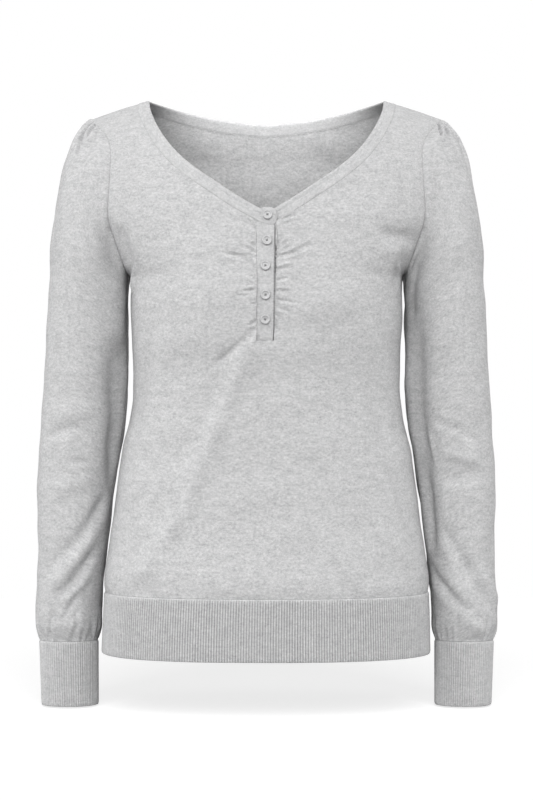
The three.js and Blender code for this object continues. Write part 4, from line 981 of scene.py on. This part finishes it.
# Rounded end over the top of the placket, from its tip to the neck, and the hidden end below it.
BAND_TAB = np.array([
    (0, 9.5, -137.0, 10.9, -131.0, 0.5, 1.1),
    (1, 8.3, -138.6, 9.9, -125.6, 0.3, 1.25),
    (2, 5.5, -139.3, 6.6, -121.9, 0.15, 1.2),
    (3, 1.0, -138.7, 1.2, -120.6, 0.1, 0.9),
    (4, -5.0, -137.0, -5.2, -121.6, 0.05, 0.3),
], float)
BAND_UNDER = np.array([
    (0, 3.0, -137.5, 1.0, -124.5, -2.5, -2.5),
    (1, -5.0, -137.0, -5.0, -124.5, -2.5, -2.5),
], float)


# Stations along an end of the band: low and high points, and n out of the cloth.
def tab_stations(table, steps):
    at = np.linspace(0, len(table) - 1, steps)
    v = {c: along(table, TAB_COLUMNS, c, at) for c in TAB_COLUMNS[1:]}
    low, high = body_at(-1, v["lowX"], v["lowZ"]), body_at(-1, v["highX"], v["highZ"])
    n = body_normal(-1, joined(np.maximum(1, v["lowX"]), 0.0, v["lowZ"]))
    return low + n * v["lowLift"][:, None], high + n * v["highLift"][:, None], n


# The same round the neck, from start_x to the shoulder.
def neck_stations(side, hand, start_x, steps):
    low, high = neck_pairs(side, start_x, np.linspace(0, 1, steps))
    n, g = neck_frame(side, low, high)
    turned = np.array([hand, 1.0, 1.0])
    return (low + g * SEAM_GAP) * turned, high * turned, n * turned


def neckband():
    tab = tab_stations(BAND_TAB, 26)
    front_right = neck_stations(-1, -1.0, -SLIT_LEFT, 130)
    back_right = [a[-2::-1] for a in neck_stations(1, -1.0, 0.0, 90)]
    back_left = [a[1:] for a in neck_stations(1, 1.0, 0.0, 90)]
    low, high, n = (a[-2::-1] for a in neck_stations(-1, 1.0, SLIT_RIGHT, 130))
    sink = n * (LAP * smooth(30, 9, low[:, 0])[:, None])
    front_left = (low - sink, high - sink, n)
    parts = (tab, front_right, back_right, back_left, front_left, tab_stations(BAND_UNDER, 8))
    low, high, n = (np.concatenate([part[k] for part in parts]) for k in range(3))
    for _ in range(3):
        n[1:-1] = unit(n[:-2] + 2 * n[1:-1] + n[2:])
    reach = lengths((low + high) / 2)[:, None]
    draw = np.random.default_rng(29)
    wave = sum(np.sin(reach * 2 * np.pi / w + draw.uniform(0, 6.28)) for w in (23, 31, 47)) * 0.09
    share, outside, inside = BAND_SECTION.T
    line = low[:, None] + (high - low)[:, None] * share[:, None]
    outer = line + n[:, None] * (outside + wave * np.sin(np.pi * share))[..., None]
    inner = line + n[:, None] * inside[:, None]
    uv = joined(reach, share * BAND_WIDTH)
    return shell("neck_binding", outer, inner, "neckband", "binding", uv)


# ---- placket ----
# Height on the front at which the lower edge of the neckband runs over the placket.
def under_band(x):
    low, _ = neck_pairs(-1, -SLIT_LEFT, [0.0])
    return np.interp(x, [SLIT_LEFT, *BAND_TAB[::-1, 1]], [low[0, 2], *BAND_TAB[::-1, 2]])


# The upper strip of the placket. Each button presses it in and raises a ring round itself.
def placket():
    r = spread(110, 120, fine=(0, 0.5, 1.1, 1.8, 2.6))[:, None]
    c = spread(24, 18, fine=(0, 0.35, 0.8, 1.3, 1.9))
    low = SLIT_END_Z + SEAM_GAP
    right = slit_edge(SLIT_RIGHT, mix(low, -139, r)) - 0.7
    x = mix(SLIT_LEFT + SEAM_GAP, right, c)
    z = mix(low, under_band(x) - 0.2, r)
    grid = body_at(-1, x, z)
    n = grid_normals(grid, np.array([0, -1, 0]))
    left_gap, right_gap, risen, _ = from_edges(grid)
    height = (0.4 + swell(8, x, z, 17, 0.16)) * (smooth(0, 4, left_gap) * smooth(0, 3, risen))
    height += seam_dip(left_gap, 0.02, 0.6) + seam_dip(right_gap, 0.6, 0.5) + seam_dip(risen - 0.7, 0.25, 0.5)
    height += seam_dip(right_gap - 1.7, 0.15, 0.4)
    for _, bx, bz, _ in BUTTONS[1:]:
        apart = np.hypot(x - bx, (z - bz) * 0.9)
        height -= 0.45 * np.exp(-((apart / 5.6) ** 4))
        height += 0.22 * np.exp(-(((apart - 6.3) / 1.1) ** 2))
    outer = grid + n * height[..., None]
    return shell("placket_strip", outer, grid - n * 1.4, "placket_upper", "binding", joined(x, z))


# The under layer of the placket, a lap below the front.
def under_placket():
    across, up = np.linspace(0, 1, 14), np.linspace(0, 1, 60)
    x, z = np.meshgrid(mix(-7.5, SLIT_RIGHT - 0.3, across), mix(-246, SLIT_TOP_Z, up))
    grid = body_at(-1, x, z)
    n = grid_normals(grid, np.array([0, -1, 0]))
    outer, inner = grid - n * LAP, grid - n * (LAP + 1.5)
    return shell("placket_lining", outer, inner, "placket_under", "binding", joined(x, z))


# ---- buttons ----
# Name, place on the front (x and z), and how far the button is lifted off it.
BUTTONS = [
    ("button_1", 1.0, -129.2, 0.9),
    ("button_2", 0.4, -155.2, 0.0),
    ("button_3", -1.2, -181.2, 0.0),
    ("button_4", -1.0, -210.6, 0.0),
    ("button_5", -1.4, -235.4, 0.0),
]
# Radius and height of the profile, from the foot over the rim into the sunk middle.
BUTTON_PROFILE = np.array([
    (3.6, 0), (4.3, 0.25), (4.75, 0.8), (4.9, 1.4), (4.8, 1.95), (4.5, 2.25), (4.1, 2.35),
    (3.7, 2.25), (3.35, 1.95), (3.1, 1.65), (2.8, 1.5), (2.2, 1.42), (1.5, 1.38), (0.8, 1.38),
], float)
BUTTON_FACE = 1.38  # height of the sunk middle
BUTTON_SIDES = 64
BUTTON_STAND = 0.7  # how far the foot stands off the front
HOLE_AT, HOLE_RADIUS, HOLE_DEPTH = 0.95, 0.52, 0.6
THREAD_THICK = 0.52


def button(name, bx, bz, lift):
    n = body_normal(-1, np.array([max(1.0, abs(bx)), 0.0, bz]))
    n = unit(n * np.array([np.sign(bx), 1, 1]))
    up = unit(np.array([0, 0, 1.0]) - n * n[2])
    side = np.cross(up, n)
    base = body_at(-1, bx, bz) + n * (BUTTON_STAND + lift)
    first_hole = 0.4 + 0.7 * abs(np.sin(bz))
    holes = [HOLE_AT * np.array([np.cos(t), np.sin(t)]) for t in first_hole + np.arange(4) * np.pi / 2]

    fine = np.linspace(0, len(BUTTON_PROFILE) - 1, 3 * len(BUTTON_PROFILE) - 2)
    radius, tall = (np.interp(fine, np.arange(len(BUTTON_PROFILE)), column) for column in BUTTON_PROFILE.T)
    middle = np.linspace(0.8, 0.08, 9)[1:]
    radius, tall = np.concatenate([radius, middle]), np.concatenate([tall, BUTTON_FACE + 0 * middle])
    angle = np.linspace(0, 2 * np.pi, BUTTON_SIDES, endpoint=False)
    flat = joined(radius[:, None] * np.cos(angle), radius[:, None] * np.sin(angle))
    inside = (np.arange(len(radius)) > len(radius) // 2)[:, None]
    sunk = np.zeros(flat.shape[:2])
    for hole in holes:
        apart = np.linalg.norm(flat - hole, axis=-1)
        sunk += HOLE_DEPTH * smooth(HOLE_RADIUS + 0.1, HOLE_RADIUS - 0.15, apart) * inside
    points = base + flat[..., :1] * side + flat[..., 1:] * up + (tall[:, None] - sunk)[..., None] * n
    points = points.reshape(-1, 3)
    i, j = np.meshgrid(np.arange(len(radius) - 1), np.arange(BUTTON_SIDES), indexing="ij")
    a, b = i * BUTTON_SIDES + j, i * BUTTON_SIDES + (j + 1) % BUTTON_SIDES
    faces = faced(points, joined(a, b, b + BUTTON_SIDES, a + BUTTON_SIDES).reshape(-1, 4)).tolist()
    foot, last = len(points), len(points) - BUTTON_SIDES
    faces += [[foot, (m + 1) % BUTTON_SIDES, m] for m in range(BUTTON_SIDES)]
    faces += [[foot + 1, last + m, last + (m + 1) % BUTTON_SIDES] for m in range(BUTTON_SIDES)]
    points = np.concatenate([points, [base, base + n * BUTTON_FACE]])
    worn(name + "_shaped", smooth_mesh(name + "_shaped", points, faces, BUTTON), name)

    curve = bpy.data.curves.new(name + "_thread", "CURVE")
    curve.dimensions = "3D"
    curve.bevel_depth = THREAD_THICK / 2 * MM
    curve.bevel_resolution = 3
    for k in (0, 1):
        spline = curve.splines.new("POLY")
        spline.points.add(8)
        for point, t in zip(spline.points, np.linspace(0, 1, 9)):
            at = mix(holes[k], -holes[k], t)
            tall = BUTTON_FACE - 0.45 + (0.8 + 0.12 * k) * np.sin(np.pi * t) ** 0.5
            point.co = (*((base + at[0] * side + at[1] * up + n * tall) * MM), 1)
    curve.materials.append(THREAD)
    worn(name + "_thread", curve)


# ---- materials ----
# Makes the nodes of a tree. An input, named or numbered, is given as a value or as the output joined to it.
class Nodes:
    def __init__(self, tree):
        self.tree = tree

    def fill(self, node, inputs):
        for name, value in inputs.items():
            if isinstance(value, bpy.types.NodeSocket):
                self.tree.links.new(value, node.inputs[name])
            else:
                node.inputs[name].default_value = value

    def add(self, kind, inputs, **settings):
        node = self.tree.nodes.new(kind)
        for name, value in settings.items():
            setattr(node, name, value)
        self.fill(node, inputs)
        return node

    def noise(self, where, size, detail, rough):
        scaled = self.add("ShaderNodeMapping", {"Vector": where, "Scale": size}).outputs["Vector"]
        values = {"Vector": scaled, "Scale": 1.0, "Detail": detail, "Roughness": rough}
        return self.add("ShaderNodeTexNoise", values).outputs["Fac"]

    def math(self, operation, *values):
        return self.add("ShaderNodeMath", dict(enumerate(values)), operation=operation).outputs["Value"]

    # A value from 0 to 1 made to swing round 0, so many times as strong.
    def swing(self, value, amount):
        return self.math("MULTIPLY", self.math("SUBTRACT", value, 0.5), amount)

    def ranged(self, value, low, high, to_low, to_high):
        values = {"Value": value, "From Min": low, "From Max": high, "To Min": to_low, "To Max": to_high}
        return self.add("ShaderNodeMapRange", values).outputs["Result"]

    def ramp(self, value, low, high, dark, light):
        node = self.add("ShaderNodeValToRGB", {"Fac": value})
        for element, position, colour in zip(node.color_ramp.elements, (low, high), (dark, light)):
            element.position, element.color = position, colour
        return node.outputs["Color"]

    def bump(self, height, strength, distance):
        values = {"Height": height, "Strength": strength, "Distance": distance}
        return self.add("ShaderNodeBump", values).outputs["Normal"]


# A new material with its nodes and its shader.
def material_of(name):
    material = bpy.data.materials.new(name)
    material.use_nodes = True
    return material, Nodes(material.node_tree), material.node_tree.nodes["Principled BSDF"]


FULL_TURN = 6.2832


# Colour of an sRGB grey, with its blue tinted.
def grey(value, tint=1.0):
    linear = ((value / 255 + 0.055) / 1.055) ** 2.4
    return (linear, linear, linear * tint, 1)


# Heather knit: light and dark fibres in short streaks along the rows, over stitches wale by wale. Wale and
# course are a stitch's width and height in millimetres; painted_rib_shade_strength is how much painted shade
# darkens the grooves between ribs.
def knit(name, light, dark, wale, course, streak, relief, painted_rib_shade_strength=0.0):
    material, m, shader = material_of(name)
    cloth = m.add("ShaderNodeUVMap", {}, uv_map="cloth").outputs["UV"]
    yarn = m.noise(cloth, (640, 1100, 1), 3, 0.6)
    melange = m.noise(cloth, (290, 430, 1), 3, 0.65)
    cloudy = m.noise(cloth, (80, 150, 1), 2, 0.5)
    mixed = m.math("ADD", m.swing(yarn, 1.2 * streak), m.swing(melange, 1.6 * streak))
    mixed = m.math("ADD", mixed, m.swing(cloudy, 0.7 * streak))
    colour = m.ramp(m.ranged(mixed, -0.5, 0.5, 0.0, 1.0), 0.08, 0.92, dark, light)
    # Painted shade in the grooves between ribs: the colour is darkened by the depth between ribs stored on
    # the mesh.
    if painted_rib_shade_strength:
        depth = m.add("ShaderNodeAttribute", {}, attribute_name="painted_rib_shade").outputs["Fac"]
        shades = {"Factor": depth, "A": colour, "B": (1 - painted_rib_shade_strength, 1 - painted_rib_shade_strength, 1 - painted_rib_shade_strength, 1)}
        colour = m.add("ShaderNodeMix", shades, data_type="RGBA", blend_type="MULTIPLY").outputs["Result"]

    split = m.add("ShaderNodeSeparateXYZ", {"Vector": cloth})
    column = m.math("MULTIPLY", split.outputs["X"], 1000 / wale)
    row = m.math("MULTIPLY", split.outputs["Y"], 1000 / course)
    saw = m.math("ABSOLUTE", m.math("SUBTRACT", m.math("FRACT", column), 0.5))
    leg = m.math("SINE", m.math("MULTIPLY", m.math("ADD", row, m.math("MULTIPLY", saw, 1.6)), FULL_TURN))
    groove = m.math("COSINE", m.swing(column, FULL_TURN))
    stitch = m.math("ADD", m.math("MULTIPLY", groove, -0.5), m.math("MULTIPLY", leg, 0.35))
    m.fill(shader, {
        "Base Color": colour,
        "Normal": m.bump(m.math("ADD", stitch, m.swing(yarn, 2.2)), relief, 0.00022),
        "Roughness": m.ranged(yarn, 0.2, 0.8, 0.98, 0.86),
        "Specular IOR Level": 0.18,
        "Sheen Weight": 0.1,
        "Sheen Roughness": 0.5,
        "Sheen Tint": (0.95, 0.95, 0.96, 1),
    })
    return material


# Smooth resin with a faint cloud in its colour.
def moulded(name, light, dark):
    material, m, shader = material_of(name)
    where = m.add("ShaderNodeTexCoord", {}).outputs["Object"]
    cloudy = m.noise(where, (420, 420, 420), 3, 0.6)
    m.fill(shader, {
        "Base Color": m.ramp(cloudy, 0.3, 0.7, dark, light),
        "Roughness": m.ranged(cloudy, 0.2, 0.8, 0.34, 0.46),
        "Normal": m.bump(m.noise(where, (2500, 2500, 2500), 2, 0.5), 0.08, 0.0001),
    })
    return material


# The material of each slot of cloth.
CLOTHS = {
    "jersey": knit("jersey_knit", grey(205), grey(148, 1.02), 1.05, 0.85, 0.75, 0.5),
    # The rib's colour has painted shade in the grooves between its ribs.
    "rib": knit("rib_knit", grey(211), grey(156, 1.02), 1.33, 0.9, 0.65, 0.55, painted_rib_shade_strength=0.42),
    "binding": knit("binding_knit", grey(204), grey(152, 1.02), 0.9, 0.7, 0.65, 0.5),
}
BUTTON = moulded("button_resin", grey(186), grey(164, 1.02))
THREAD = knit("sewing_thread", grey(140), grey(104), 0.4, 0.3, 0.7, 0.4)

# ---- the sweater ----
# Levels of a ribbed band, from its seam to its free edge.
HEM_LEVELS = [0, 0.012, 0.03, 0.07, 0.16, 0.3, 0.45, 0.6, 0.74, 0.86, 0.94, 0.975, 0.99, 1.0]
CUFF_LEVELS = [0, 0.012, 0.03, 0.07, *np.linspace(0.13, 0.93, 15), 0.965, 0.985, 1.0]


def hem_outline(t, angle):
    line = body_outline(mix(HEM_SEAM_Z, HEM_BOTTOM_Z, t), angle)
    line[:, 2] -= SEAM_GAP * (1 - t)
    return line


def cuff(label, hand):
    def outline(t, angle):
        return cuff_outline(t, hand, angle)

    name, node = f"cuff_{label}_ribs", f"cuff_{label}"
    # The cuffs get half as much painted shade in their grooves as the hem.
    return ribbed(name, outline, CUFF_RIBS, 8, CUFF_LEVELS, node, 0.25, 52 + hand, shaded=0.5)


front = front_panel()
back = back_panel()
left_sleeve = sleeve("sleeve_left_knit", 1, SLEEVE_LEFT_FOLDS, CAP_LEFT, 41)
right_sleeve = sleeve("sleeve_right_knit", -1, SLEEVE_RIGHT_FOLDS, CAP_RIGHT, 43)
hem = ribbed("hem_ribs", hem_outline, HEM_RIBS, 6, HEM_LEVELS, "hem_band", 0.35, 51)
left_cuff, right_cuff = cuff("left", 1), cuff("right", -1)
binding = neckband()
strip = placket()
lining = under_placket()
for row in BUTTONS:
    button(*row)

# ---- floor, light and camera (metres) ----
WHITE = (1, 1, 1, 1)
FLOOR_Z = -0.6415  # 2 mm below the cuffs
FLOOR_CORNERS = ((-1.1, -0.7), (1.1, -0.7), (1.1, 1.3), (-1.1, 1.3))
floor_mesh = bpy.data.meshes.new("floor")
floor_mesh.from_pydata([(x, y, FLOOR_Z) for x, y in FLOOR_CORNERS], [], [(0, 1, 2, 3)])
floor = linked("floor", floor_mesh)
floor_material, floor_nodes, floor_shader = material_of("studio_floor")
floor_nodes.fill(floor_shader, {
    "Base Color": (0.4, 0.4, 0.4, 1),
    "Emission Color": WHITE,
    "Emission Strength": 0.79,
    "Roughness": 0.9,
    "Specular IOR Level": 0.0,
})
floor_mesh.materials.append(floor_material)
floor_only = bpy.data.collections.new("floor_only")
floor_only.objects.link(floor)
all_but_floor = bpy.data.collections.new("all_but_floor")
all_but_floor.objects.link(floor)
all_but_floor.collection_objects[0].light_linking.link_state = "EXCLUDE"
floor.light_linking.receiver_collection = floor_only

# The world looks white, and gives the sweater only a little light.
world = bpy.data.worlds.new("studio")
bpy.context.scene.world = world
world.use_nodes = True
sky = Nodes(world.node_tree)
dim = sky.add("ShaderNodeBackground", {"Color": WHITE, "Strength": 0.1}).outputs["Background"]
seen = sky.tree.nodes["Background"]
sky.fill(seen, {"Color": WHITE})
ray = sky.add("ShaderNodeLightPath", {}).outputs["Is Camera Ray"]
both = {"Fac": ray, 1: dim, 2: seen.outputs["Background"]}
chosen = sky.add("ShaderNodeMixShader", both).outputs["Shader"]
sky.fill(sky.tree.nodes["World Output"], {"Surface": chosen})


# A far soft light; way points from the sweater towards it, and strength is the brightness that it gives
# white cloth.
def soft_sun(name, way, strength, spread_angle, lit):
    data = bpy.data.lights.new(name, "SUN")
    data.energy = strength * np.pi
    data.angle = np.radians(spread_angle)
    sun = linked(name, data)
    x, y, z = way
    sun.rotation_euler = (float(np.arctan2(np.hypot(x, y), z)), 0, float(np.arctan2(y, x) + np.pi / 2))
    sun.light_linking.receiver_collection = lit


soft_sun("front", (-0.1, -1.0, 0.35), 0.76, 45, all_but_floor)
soft_sun("left", (-1.0, -0.22, 0.35), 0.78, 75, all_but_floor)
soft_sun("right", (1.0, -0.22, 0.35), 0.66, 75, all_but_floor)
soft_sun("above", (0.0, -0.7, 1.0), 0.2, 60, all_but_floor)
soft_sun("behind", (0.15, 1.0, 0.35), 0.55, 60, all_but_floor)
soft_sun("floor_light", (0.0, -1.15, 1.0), 0.8, 45, floor_only)

# A small soft lamp in the neck, turned to the inside of the back.
LAMP_SIZE = (0.18, 0.01)
LAMP_AT = (0, -0.03, -0.015)
lamp_data = bpy.data.lights.new("neck_lamp", "AREA")
lamp_data.shape = "RECTANGLE"
lamp_data.size, lamp_data.size_y = LAMP_SIZE
lamp_data.spread = np.radians(75)
lamp_data.energy = 0.042
lamp = linked("neck_lamp", lamp_data)
lamp.location = LAMP_AT
lamp.rotation_euler = (np.pi / 2, 0, 0)
lamp.visible_camera = False

CAMERA_AWAY, CAMERA_Z = 2.4, -0.317
HALF_VIEW = 0.424  # half the height that the picture shows, at the middle of the sweater
bpy.context.scene.view_settings.view_transform = "Standard"
camera_data = bpy.data.cameras.new("camera")
camera_data.sensor_fit = "VERTICAL"
camera_data.angle = float(2 * np.arctan(HALF_VIEW / CAMERA_AWAY))
camera_data.clip_end = 60
camera = linked("camera", camera_data)
camera.location = (0, -CAMERA_AWAY, CAMERA_Z)
camera.rotation_euler = (np.pi / 2, 0, 0)
bpy.context.scene.camera = camera
